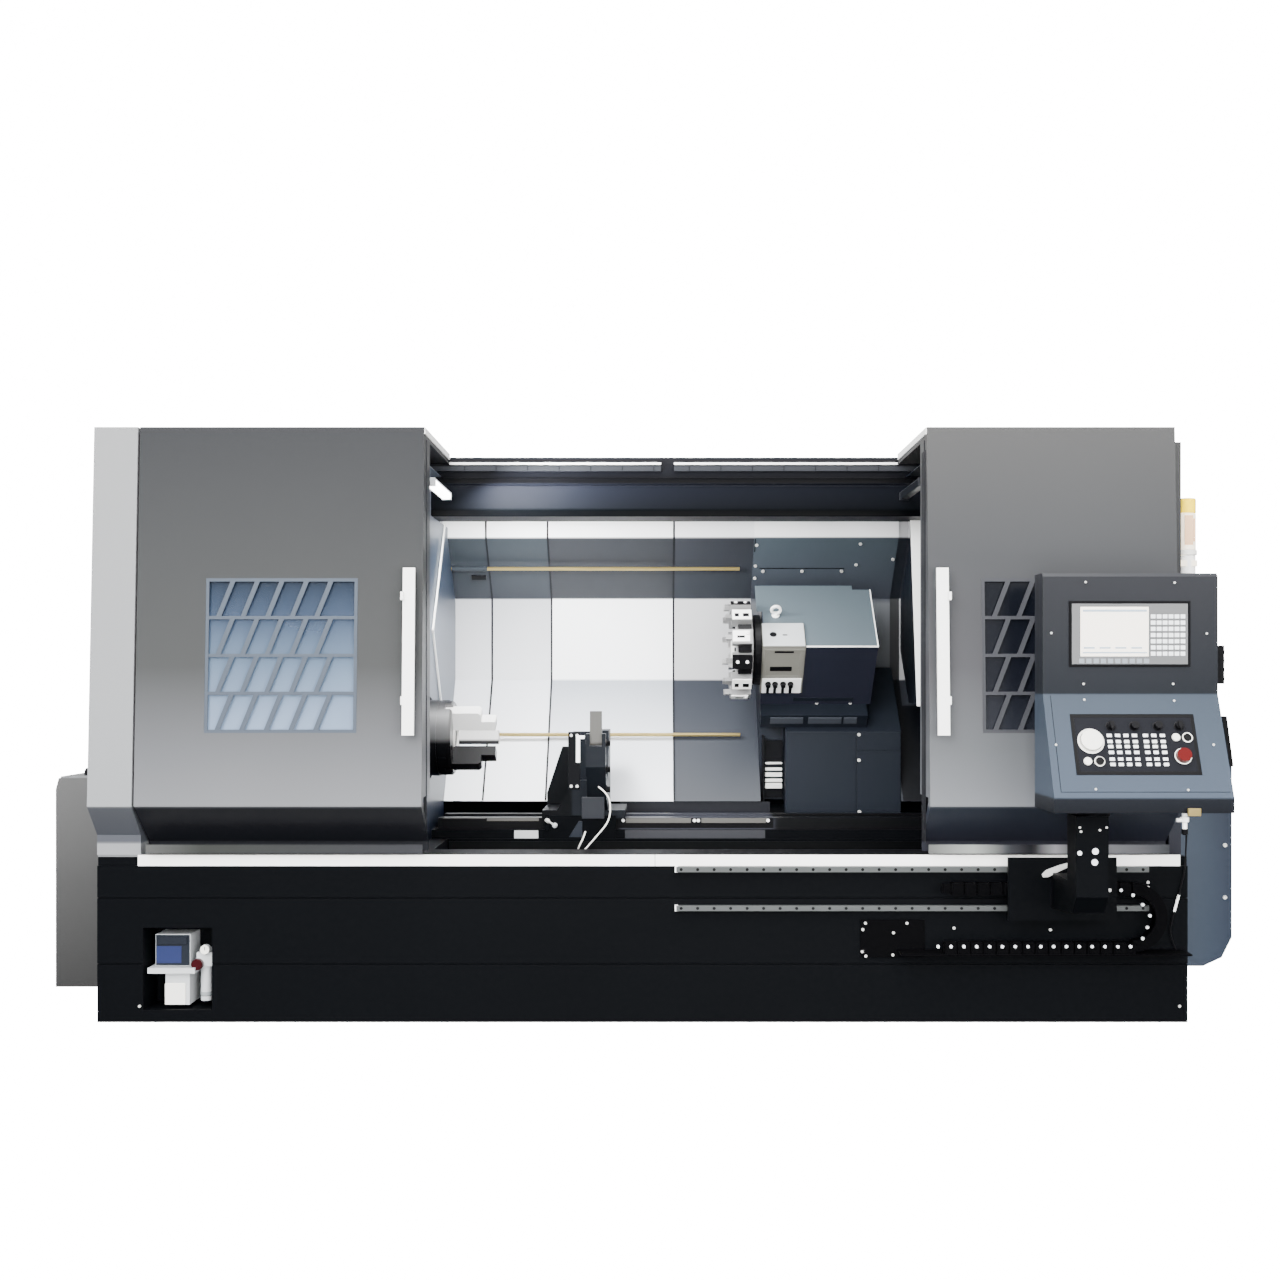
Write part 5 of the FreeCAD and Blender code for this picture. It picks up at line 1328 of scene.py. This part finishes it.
@dataclass
class SteadyTrim:
    """Cover plates, formed oil pipes, bolts, hook and lever of the steady rest."""

    pipe_radius: float = 3.2
    foot_face: float = -200
    face: float = -480
    yoke_right: float = -148
    plate: tuple = ((-293, 824), (-246, 1050))

    def build(self) -> None:
        """Makes the steady rest's small parts."""
        self.plates()
        self.bolts()
        self.hook()
        self.lever()
        bent_pipe("steady_pipe_long", [(-176, -484, 836), (-136, -490, 810), (-126, -496, 750),
                                       (-136, -496, 700), (-172, -490, 655), (-228, -470, 590)],
                  self.pipe_radius, Stock.IVORY_ABS, "steady")
        bent_pipe("steady_pipe_short", [(-226, -484, 662), (-232, -492, 640), (-250, -490, 606),
                                        (-256, -470, 588)],
                  self.pipe_radius, Stock.IVORY_ABS, "steady")

    def plates(self) -> None:
        """The foot's skirt, a dark cover plate, a lighter lower panel and a triangle."""
        at = front(self.face)
        foot = front(self.foot_face)
        (left, low), (right, high) = self.plate
        Form("steady_skirt").block((-406, 566, 3), (-115, 700, 8), foot).block(
            (-403, 640, 8), (-384, 705, 16), foot).done(Stock.BASE_PAINT, "steady", 1.0)
        Form("steady_cover_plate").block((left, low, -2), (right, high, 4), at).done(
            Stock.BLACKED, "steady", 2.0)
        Form("steady_lower_panel").block((-240, 712, -2), (-152, 796, 5), at).done(
            Stock.CAST_PAINT, "steady", 1.5)
        Form("steady_triangle").prism([(-290, 640), (-238, 640), (-238, 702), (-252, 702)],
                                      0, 7, at).done(Stock.SLATE_PAINT, "steady", 1.0)

    def bolts(self) -> None:
        """Hexagon bolts with washers on the yoke's right side, and the plate's screws."""
        heads = Form("steady_bolts")
        for z in (1004, 900, 822):
            heads.lathe([(17, 0), (17, 4), (12, 4), (12, 16), (10, 18), (0, 18)],
                        facing(self.yoke_right, -430, z, (1, 0, 0)), 6)
        heads.done(Stock.NYLON, "steady", 0.6)
        small = Form("steady_plate_screws")
        (left, low), (right, high) = self.plate
        for x in (left + 12, right - 12):
            for z in (low + 14, high - 14):
                small.lathe(screw_profile(6, 4), facing(x, self.face - 4, z, (0, -1, 0)), 12)
        small.done(Stock.GROUND, "steady", 0.2)

    def hook(self) -> None:
        """A white clamp hook over the cover plate's edge."""
        at = front(self.face - 4)
        Form("steady_clamp_hook").prism(
            [(-262, 930), (-246, 930), (-246, 1022), (-228, 1022), (-228, 1036), (-262, 1036)],
            0, 10, at).done(Stock.WHITE_COAT, "steady", 2.0)

    def lever(self) -> None:
        """The clamping lever of the foot with its ball."""
        at = facing(-394, -214, 680, (0.6, -0.75, -0.3))
        Form("steady_lever_rod").lathe([(9, -6), (9, 8), (4, 10), (3.5, 47), (0, 47)], at,
                                       16).done(Stock.GROUND, "steady", 0.4)
        radius, steps = 11, 10
        ball = [(radius * math.sin(math.pi * k / steps),
                 56 - radius * math.cos(math.pi * k / steps)) for k in range(steps + 1)]
        Form("steady_lever_ball").lathe(ball, at, 20).done(Stock.PALE_ABS, "steady", 0.0)


@dataclass
class TailTrim:
    """Front cover of the tailstock with its screws."""

    face: float = -360
    left: float = 1230

    def build(self) -> None:
        """Makes the tailstock's small parts."""
        # The cover takes the cabin walls' paint, with its painted shade towards the bottom.
        Form("tailstock_front_cover").block(
            (self.left + 60, 700, -2), (self.left + 340, 900, 3), front(self.face)).done(
            Stock.INNER_PAINT, "tailstock", 1.5)
        heads = Form("tailstock_screws")
        for x in (self.left + 74, self.left + 326):
            for z in (716, 884):
                heads.lathe(screw_profile(6, 4), facing(x, self.face - 3, z, (0, -1, 0)), 12)
        heads.done(Stock.GROUND, "tailstock", 0.2)


@dataclass
class PendantTrim:
    """Display, keys, switches and fittings of the operating pendant."""

    upper_y: float = -1200
    pane_y: float = -1204
    dial_row: float = -120
    dials: tuple = (1589, 1668, 1748, 1820)
    key_rows: tuple = (154, 176, 194, 215, 239, 258)
    key_columns: tuple = (1580, 1608, 1636, 1665, 1702, 1730, 1759)
    key_half: tuple = (8.6, 5.6)
    caps: tuple = ((1497, -247), (1804, -161))
    rims: tuple = ((1537, -247), (1843, -161))
    stop: tuple = (1820, -228)
    wheel: tuple = (1516, -174)
    wheel_marks: int = 50

    def build(self) -> None:
        """Makes the pendant's pieces from top to bottom."""
        self.display()
        self.keys()
        self.console()
        self.switches()
        self.fasteners()
        self.side()

    def display(self) -> None:
        """The screen: a film frame, the lit display and its soft rows."""
        at = front(self.pane_y)
        Form("screen_surround").block((1463, 1298, 0), (1873, 1519, 0.8), at).done(
            Stock.NYLON, "pendant", 0.4)
        Form("screen_film").block((1470, 1305, 0.5), (1866, 1512, 1.4), at).done(
            Stock.SCREEN_ABS, "pendant", 0.4)
        Form("screen_lcd").block((1499, 1332, 0.6), (1732, 1501, 2.0), at).done(
            Stock.LCD, "pendant", 0.4)
        bars = Form("screen_rows")
        for low, high in ((1484, 1492), (1342, 1347)):
            bars.block((1506, low, 1.6), (1726, high, 2.4), at)
        for k in range(4):
            bars.block((1510 + 54 * k, 1358, 1.6), (1548 + 54 * k, 1364, 2.4), at)
        bars.done(Stock.LCD_BAR, "pendant", 0.0)

    def keys(self) -> None:
        """Soft keys under the display and the block of keys beside it."""
        at = front(self.pane_y)
        soft = Form("screen_soft_keys")
        for k in range(10):
            x = 1494 + 24.6 * k
            soft.block((x, 1308, 0.8), (x + 18, 1324, 4.0), at)
        soft.done(Stock.KEY_GREY, "pendant", 1.0)
        block = Form("screen_key_block")
        for column in range(6):
            for row in range(7):
                x, z = 1739 + 20.3 * column, 1334 + 21.2 * row
                block.block((x, z, 0.8), (x + 16, z + 14, 4.2), at)
        block.done(Stock.KEY_CAP, "pendant", 1.0)

    def console(self) -> None:
        """The console's film panel with its two blocks of keys."""
        Form("console_film").block((1460, -290, 0), (1870, -80, 1.2), CONSOLE).done(
            Stock.PANEL_FILM, "pendant", 0.5)
        light = Form("console_keys")
        wide, tall = self.key_half
        for down in self.key_rows:
            for x in self.key_columns:
                light.block((x - wide, -down - tall, 1.0), (x + wide, -down + tall, 4.4),
                            CONSOLE)
        light.done(Stock.KEY_CAP, "pendant", 1.0)

    def switches(self) -> None:
        """Collars of the moving controls and the buttons and knobs beside them."""
        collars = Form("control_collars")
        for x in self.dials:
            collars.lathe([(17, 1.0), (17, 2.5), (15, 3.5), (14, 3.5), (14, 1.0)],
                          self.spot(x, self.dial_row), 32)
        collars.done(Stock.NYLON, "pendant", 0.2)
        rims = Form("button_rims")
        for place in self.rims:
            rims.lathe([(18, 1.0), (18, 4.0), (16, 5.0), (14, 4.0), (14, 1.0)],
                       self.spot(*place), 32)
        rims.done(Stock.IVORY_ABS, "pendant", 0.2)
        knobs = Form("selector_knobs")
        for x in (self.dials[0], self.dials[-1]):
            turn = self.spot(x, self.dial_row)
            knobs.lathe([(13, 3), (12.5, 14), (12, 16), (0, 16)], turn, 24)
            knobs.prism([(-7, -6), (0, -20), (7, -6), (7, 12), (-7, 12)], 14, 23, turn)
        knobs.done(Stock.NYLON, "pendant", 0.8)
        caps = Form("push_button_caps")
        for place in self.caps:
            caps.lathe([(14, 1), (14, 6), (12.5, 8), (0, 8)], self.spot(*place), 28)
        caps.done(Stock.IVORY_ABS, "pendant", 0.4)
        Form("dark_push_button").lathe([(13, 1), (13, 6), (11.5, 8), (0, 8)],
                                       self.spot(*self.rims[1]), 28).done(
            Stock.NYLON, "pendant", 0.4)
        Form("stop_button_ring").lathe([(29, 1.0), (29, 2.6), (25.5, 3.4), (25.5, 1.0)],
                                       self.spot(*self.stop), 40).done(
            Stock.IVORY_ABS, "pendant", 0.3)
        self.wheel_scale()

    def wheel_scale(self) -> None:
        """The handwheel's fixed base ring and the marks round it."""
        wheel = self.spot(*self.wheel)
        Form("handwheel_base").lathe([(45, 1.0), (45, 2.6), (43, 3.6), (37.5, 3.6), (37.5, 1)],
                                     wheel, 48).done(Stock.IVORY_ABS, "pendant", 0.3)
        ring = Form("handwheel_scale")
        for k in range(self.wheel_marks):
            turn = wheel @ Matrix.Rotation(2 * math.pi * k / self.wheel_marks, 4, "Z")
            ring.block((-0.4, 39, 3.4), (0.4, 42, 3.9), turn)
        ring.done(Stock.NYLON, "pendant", 0.0)

    def spot(self, x: float, down: float) -> Matrix:
        """A place on the console's sloping face; down is negative."""
        return CONSOLE @ Matrix.Translation((x, down, 0))

    def fasteners(self) -> None:
        """Screws around both faces, the console's seams and the film's border."""
        heads = Form("pendant_screws")
        for x, z in ((1518, 1586), (1822, 1584), (1401, 1412), (1932, 1410), (1511, 1238),
                     (1817, 1238)):
            heads.lathe(screw_profile(4.0, 3), facing(x, self.upper_y, z, (0, -1, 0)), 18)
        for place in ((1511, -22), (1817, -26), (1397, -187), (1928, -187), (1513, -345),
                      (1820, -348)):
            heads.lathe(screw_profile(4.0, 3), self.spot(*place), 18)
        heads.done(Stock.GROUND, "pendant", 0.2)
        seam = Form("pendant_seams")
        seam.block((1396, -356, -1.0), (1960, -354, 0.5), CONSOLE)
        seam.block((1396, -354, -1.0), (1398, -6, 0.5), CONSOLE)
        seam.done(Stock.NYLON, "pendant", 0.0)
        film = Form("console_film_border")
        for low, high in (((1455, -295), (1875, -282)), ((1455, -88), (1875, -75)),
                          ((1455, -282), (1468, -88)), ((1862, -282), (1875, -88))):
            film.block((*low, -0.5), (*high, 1.6), CONSOLE)
        film.done(Stock.NYLON, "pendant", 0.5)

    def side(self) -> None:
        """Sockets and handle on the right side, brass plug and air fitting underneath."""
        sockets = Form("pendant_sockets").block((1966, -1172, 1238), (2003, -1120, 1370))
        for z in (1350, 1318, 1286, 1256):
            sockets.lathe([(13, 0), (13, 14), (16, 15), (16, 24), (10, 28), (0, 28)],
                          facing(1982, -1146, z, (1, 0, 0)), 24)
        sockets.done(Stock.NYLON, "pendant", 0.6)
        handle = Form("pendant_side_handle").prism(
            [(1992, 1127), (2011, 1127), (2034, 955), (2014, 952)], 0, 26, front(-1150))
        for x, z in ((1966, 1104), (1990, 976)):
            handle.block((x, z - 9, 2), (x + 34, z + 9, 20), front(-1152))
        handle.done(Stock.NYLON, "pendant", 2.0)
        Form("pendant_brass_plug").block((1812, 800, 0), (1855, 826, 12),
                                         front(-1352)).done(Stock.BRASS, "pendant", 2.0)
        tee = Form("pendant_air_tee")
        tee.lathe([(9, 0), (9, 12), (14, 14), (14, 30), (8, 32), (8, 54), (0, 54)],
                  facing(1822, -1300, 806, (0, 0, -1)), 20)
        tee.lathe([(7, 0), (7, 18), (0, 18)], facing(1812, -1300, 782, (-1, 0, 0)), 16)
        tee.done(Stock.WHITE_COAT, "pendant", 0.4)
        Form("pendant_air_cap").lathe([(10, 0), (11, 3), (11, 16), (6, 20), (0, 20)],
                                      facing(1822, -1300, 752, (0, 0, -1)), 20).done(
            Stock.NYLON, "pendant", 0.4)


@dataclass
class CarriageTrim:
    """Plugs, bolts, lock lever and chain clamp of the pendant's carriage and column."""

    column_face: float = -1250
    plate_face: float = -934

    def build(self) -> None:
        """Makes the carriage's pieces."""
        caps = Form("column_plugs")
        for x, z, radius in ((1484, 665, 8), (1537, 671, 11), (1535, 634, 11)):
            caps.lathe([(radius, -1), (radius, 1.5), (radius - 4, 1.5), (radius - 4, 0.4),
                        (0, 0.4)], facing(x, self.column_face, z, (0, -1, 0)), 20)
        caps.done(Stock.KEY_CAP, "carriage", 0.2)
        bolts = Form("column_bolts")
        for x, z in ((1484, 752), (1488, 738), (1552, 743), (1575, 752)):
            bolts.lathe(screw_profile(4.2, 3), facing(x, self.column_face, z, (0, -1, 0)), 14)
        bolts.done(Stock.GROUND, "carriage", 0.2)
        Form("carriage_lock_lever").prism(
            [(1552, 602), (1492, 586), (1450, 570), (1434, 555), (1437, 543), (1456, 544),
             (1486, 560), (1552, 591)], 0, 12, front(self.plate_face - 4)).lathe(
            [(13, -6), (13, 16), (10, 18), (0, 18)],
            facing(1548, self.plate_face, 596, (0, -1, 0)), 20).done(
            Stock.GROUND, "carriage", 2.5)
        Form("chain_clamp_bolts").lathe(screw_profile(6.5, 4),
                                        facing(1680, self.plate_face, 496, (0, -1, 0)),
                                        14).done(Stock.GROUND, "carriage", 0.2)


@dataclass
class RailsAndChain:
    """Rail screw holes and end caps, chain pins, anchor plate, bolts and sensor line."""

    rail_y: float = -870
    rail_heights: tuple = (562, 421)
    first_hole: float = 141
    hole_pitch: float = 60
    hole_count: int = 29
    chain_face: float = -914
    tray_face: float = -956
    run_height: float = 297
    first_pin: float = 1060
    pin_pitch: float = 45.9
    pin_count: int = 16

    def build(self) -> None:
        """Makes the pieces along the front of the base."""
        self.rails()
        self.chain()
        self.skirt()

    def rails(self) -> None:
        """Counterbored screw holes every 60 mm and the white end caps."""
        holes = Form("rail_screw_holes")
        for z in self.rail_heights:
            for k in range(self.hole_count):
                x = self.first_hole + self.hole_pitch * k
                holes.lathe([(5.5, -0.4), (5.5, 0.6), (0, 0.6)],
                            facing(x, self.rail_y, z, (0, -1, 0)), 16)
        holes.done(Stock.BLACKED, "machine", 0.0)
        caps = Form("rail_end_caps")
        for z in self.rail_heights:
            caps.block((118, z - 11, -2), (130, z + 11, 19), front(BASE_FRONT))
        caps.done(Stock.WHITE_COAT, "machine", 1.5)

    def chain(self) -> None:
        """Pins along the lower run, which lies in its tray, and round the moving bend."""
        pins = Form("chain_pins")
        for k in range(self.pin_count):
            x = self.first_pin + self.pin_pitch * k
            pins.lathe([(6, -4), (6, 2), (4.5, 3), (0, 3)],
                       facing(x, self.tray_face, self.run_height, (0, -1, 0)), 14)
        pins.done(Stock.KEY_CAP, "machine", 0.2)
        bend = Form("chain_bend_pins")
        for x, z in ((1727, 493), (1770, 475), (1805, 441), (1831, 401), (1822, 359),
                     (1805, 319)):
            bend.lathe([(6, -4), (6, 3), (4.5, 4), (0, 4)],
                       facing(x, self.chain_face, z, (0, -1, 0)), 14)
        bend.done(Stock.KEY_CAP, "chain_loop", 0.2)

    def skirt(self) -> None:
        """The chain's black anchor plate, bolts on it and the skirt, and the sensor line."""
        plate = 6
        Form("chain_anchor_plate").block((795, 240, -1), (1030, 378, plate),
                                         front(BASE_FRONT)).done(Stock.CHAIN, "machine", 1.5)
        bolts = Form("skirt_bolts")
        for x, z in ((813, 365), (803, 342), (915, 330), (964, 365), (801, 261), (814, 245),
                     (913, 249), (1020, 252)):
            bolts.lathe(screw_profile(5.4, 4),
                        facing(x, BASE_FRONT - plate, z, (0, -1, 0)), 14)
        for x, z in ((-1835, 61), (1137, 346), (1960, 61), (1845, 513), (1845, 495),
                     (1489, 340)):
            bolts.lathe(screw_profile(5.4, 4), facing(x, BASE_FRONT, z, (0, -1, 0)), 14)
        bolts.done(Stock.GROUND, "machine", 0.2)
        bent_pipe("base_sensor_line", [(1983, -858, 690), (1981, -856, 617), (1977, -860, 560),
                                       (1962, -860, 500), (1951, -860, 455), (1930, -860, 380),
                                       (1919, -860, 322), (1944, -860, 268)], 3.0,
                  Stock.NYLON, "machine")
        bent_pipe("base_sensor_sleeve", [(1954, -861, 468), (1946, -861, 438),
                                         (1937, -861, 408)], 5.0, Stock.WHITE_COAT, "machine")


@dataclass
class NicheTrim:
    """Pump cover, tank, gauge face, regulator knob and bowl in the front niche."""

    pump_y: float = -810
    gauge: tuple = (-1606, -820, 262)
    bowl: tuple = (-1612, -780)

    def build(self) -> None:
        """Makes the niche's pieces."""
        at = front(self.pump_y)
        Form("pump_cover").block((-1788, 203, 0), (-1664, 315, 4), at).block(
            (-1780, 280, 3), (-1672, 308, 9), at).done(Stock.SLATE_PAINT, "machine", 2.0)
        Form("pump_blue_plate").block((-1786, 212, 3), (-1694, 274, 5.2), at).done(
            Stock.BLUE_FOIL, "machine", 0.4)
        Form("oil_tank_shell").block((-1752, 60, -2), (-1676, 140, 6), front(-820)).done(
            Stock.IVORY_ABS, "machine", 4.0)
        Form("oil_tank_neck").lathe([(20, 0), (20, 12), (17, 14), (0, 14)],
                                    facing(-1714, -800, 140, (0, 0, 1)), 24).done(
            Stock.NYLON, "machine", 0.5)
        self.air()

    def air(self) -> None:
        """The air unit's gauge, knob, clear bowl and drain."""
        bowl_x, bowl_y = self.bowl
        Form("gauge_face").lathe([(17, 0), (17, 4), (15, 5), (14, 3), (0, 3)],
                                 facing(*self.gauge, (0, -1, 0)), 32).done(
            Stock.IVORY_ABS, "machine", 0.3)
        Form("gauge_needle").block((-1.2, -2, 3), (1.2, 11, 4),
                                   facing(*self.gauge, (0, -1, 0), 0.7)).done(
            Stock.NYLON, "machine", 0.0)
        Form("regulator_knob").lathe([(19, 0), (21, 4), (21, 22), (18, 26), (0, 26)],
                                     facing(-1633, -808, 208, (0, -1, 0)), 24).done(
            Stock.RUBY, "machine", 0.5)
        Form("filter_bowl").lathe([(10, 0), (17, 12), (19, 76), (19, 100)],
                                  facing(bowl_x, bowl_y, 100, (0, 0, 1)), 28).lathe(
            [(20.5, 0), (21.5, 2), (21.5, 12), (20.5, 14)],
            facing(bowl_x, bowl_y, 88, (0, 0, 1)), 28).done(Stock.CLEAR_BOWL, "machine", 0.3)
        Form("filter_drain").lathe([(8, 0), (16, 6), (20.4, 30), (20.4, 38)],
                                   facing(bowl_x, bowl_y, 58, (0, 0, 1)), 24).done(
            Stock.NYLON, "machine", 0.4)


@dataclass
class LampTrim:
    """The signal lamp: clear shell, yellow cap, amber lens, collar and white foot."""

    x: float = 2024
    y: float = -740
    radius: float = 33

    def build(self) -> None:
        """Makes the lamp's pieces."""
        for name, low, high, wider, finish in (
                ("lamp_cap", 1872, 1926, 0.6, Stock.YELLOW),
                ("lamp_shell", 1736, 1872, 0.0, Stock.BEACON),
                ("lamp_collar", 1716, 1736, 4.0, Stock.IVORY_ABS),
                ("lamp_foot_tube", 1612, 1716, -1.0, Stock.WHITE_COAT)):
            radius = self.radius + wider
            Form(name).lathe([(0, 0), (radius, 0), (radius, high - low - 4),
                              (radius - 4, high - low), (0, high - low)],
                             facing(self.x, self.y, low, (0, 0, 1)), 40).done(
                finish, "machine", 0.4)
        lens = Form("lamp_lens")
        face = front(self.y - self.radius + 1)
        lens.block((self.x - 18, 1752, 0), (self.x + 14, 1862, 1.6), face)
        lens.block((self.x + 16, 1764, -3), (self.x + 23, 1850, 0.5), face)
        lens.done(Stock.AMBER, "machine", 0.8)


@dataclass
class RearTrim:
    """Service doors, louvres and locks, and fittings of the tank and the conveyor."""

    doors_at: tuple = ((-1700, -900), (-850, -50), (50, 850), (900, 1700))
    louvres: int = 8
    louvre_pitch: float = 34
    lock_heights: tuple = (1100, 1500)

    def build(self) -> None:
        """Makes the pieces that are seen from the ends and from behind."""
        self.doors()
        self.tank()
        self.conveyor()

    def doors(self) -> None:
        """Four service doors in the rear housing, with louvres and round locks."""
        at = facing(0, self.rear_face(), 0, (0, 1, 0), 180)
        panels = Form("service_doors")
        slots = Form("service_louvres")
        locks = Form("service_locks")
        for left, right in self.doors_at:
            panels.block((left, 760, -1), (right, 1800, 3), at)
            for k in range(self.louvres):
                z = 900 + self.louvre_pitch * k
                slots.block((left + 220, z, 2), (right - 220, z + 6, 9), at)
            for z in self.lock_heights:
                locks.lathe([(15, 0), (15, 4), (12, 5), (0, 5)],
                            at @ Matrix.Translation((right - 40, z, 3)), 20)
        panels.done(Stock.DOOR_PAINT, "machine", 1.5)
        slots.done(Stock.DOOR_PAINT, "machine", 2.0)
        locks.done(Stock.BLACKED, "machine", 0.4)

    def rear_face(self) -> float:
        """The depth of the rear housing's back face, read from its node.

        Returns:
            The face's Y in millimetres.
        """
        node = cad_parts["rear_enclosure"]
        return max((node.matrix_world @ Vector(c)).y for c in node.bound_box) / MM

    def tank(self) -> None:
        """Lid and filler cap of the hydraulic unit."""
        Form("tank_lid").block((-2386, -190, 850), (-2004, 482, 858)).done(
            Stock.COLUMN_PAINT, "machine", 1.5)
        Form("tank_filler").lathe([(34, 0), (34, 18), (28, 30), (0, 30)],
                                  facing(-2290, -90, 857, (0, 0, 1)), 28).done(
            Stock.NYLON, "machine", 0.6)

    def conveyor(self) -> None:
        """Bolts on the conveyor's chute."""
        bolts = Form("conveyor_bolts")
        for z in (420, 620, 820, 1000):
            bolts.lathe(screw_profile(8, 5), facing(2225, -585, z, (0, -1, 0)), 14)
        bolts.done(Stock.GROUND, "machine", 0.2)


def main() -> None:
    """Builds the studio, dresses the CAD nodes and adds every piece of trim."""
    logging.basicConfig(level=logging.INFO, format="%(name)s: %(message)s")
    Studio().build()
    dress_nodes()
    DoorTrim("left", -792, -852, -1, 1031).build()
    DoorTrim("right", 1033, 1094, 1, 900).build()
    for trim in (Enclosure(), WayCovers(), SaddleTrim(), TurretTrim(), ChuckTrim(),
                 SteadyTrim(), TailTrim(), PendantTrim(), CarriageTrim(), RailsAndChain(),
                 NicheTrim(), LampTrim(), RearTrim()):
        LOG.info("trim %s", type(trim).__name__)
        trim.build()


if __name__ == "__main__":
    main()
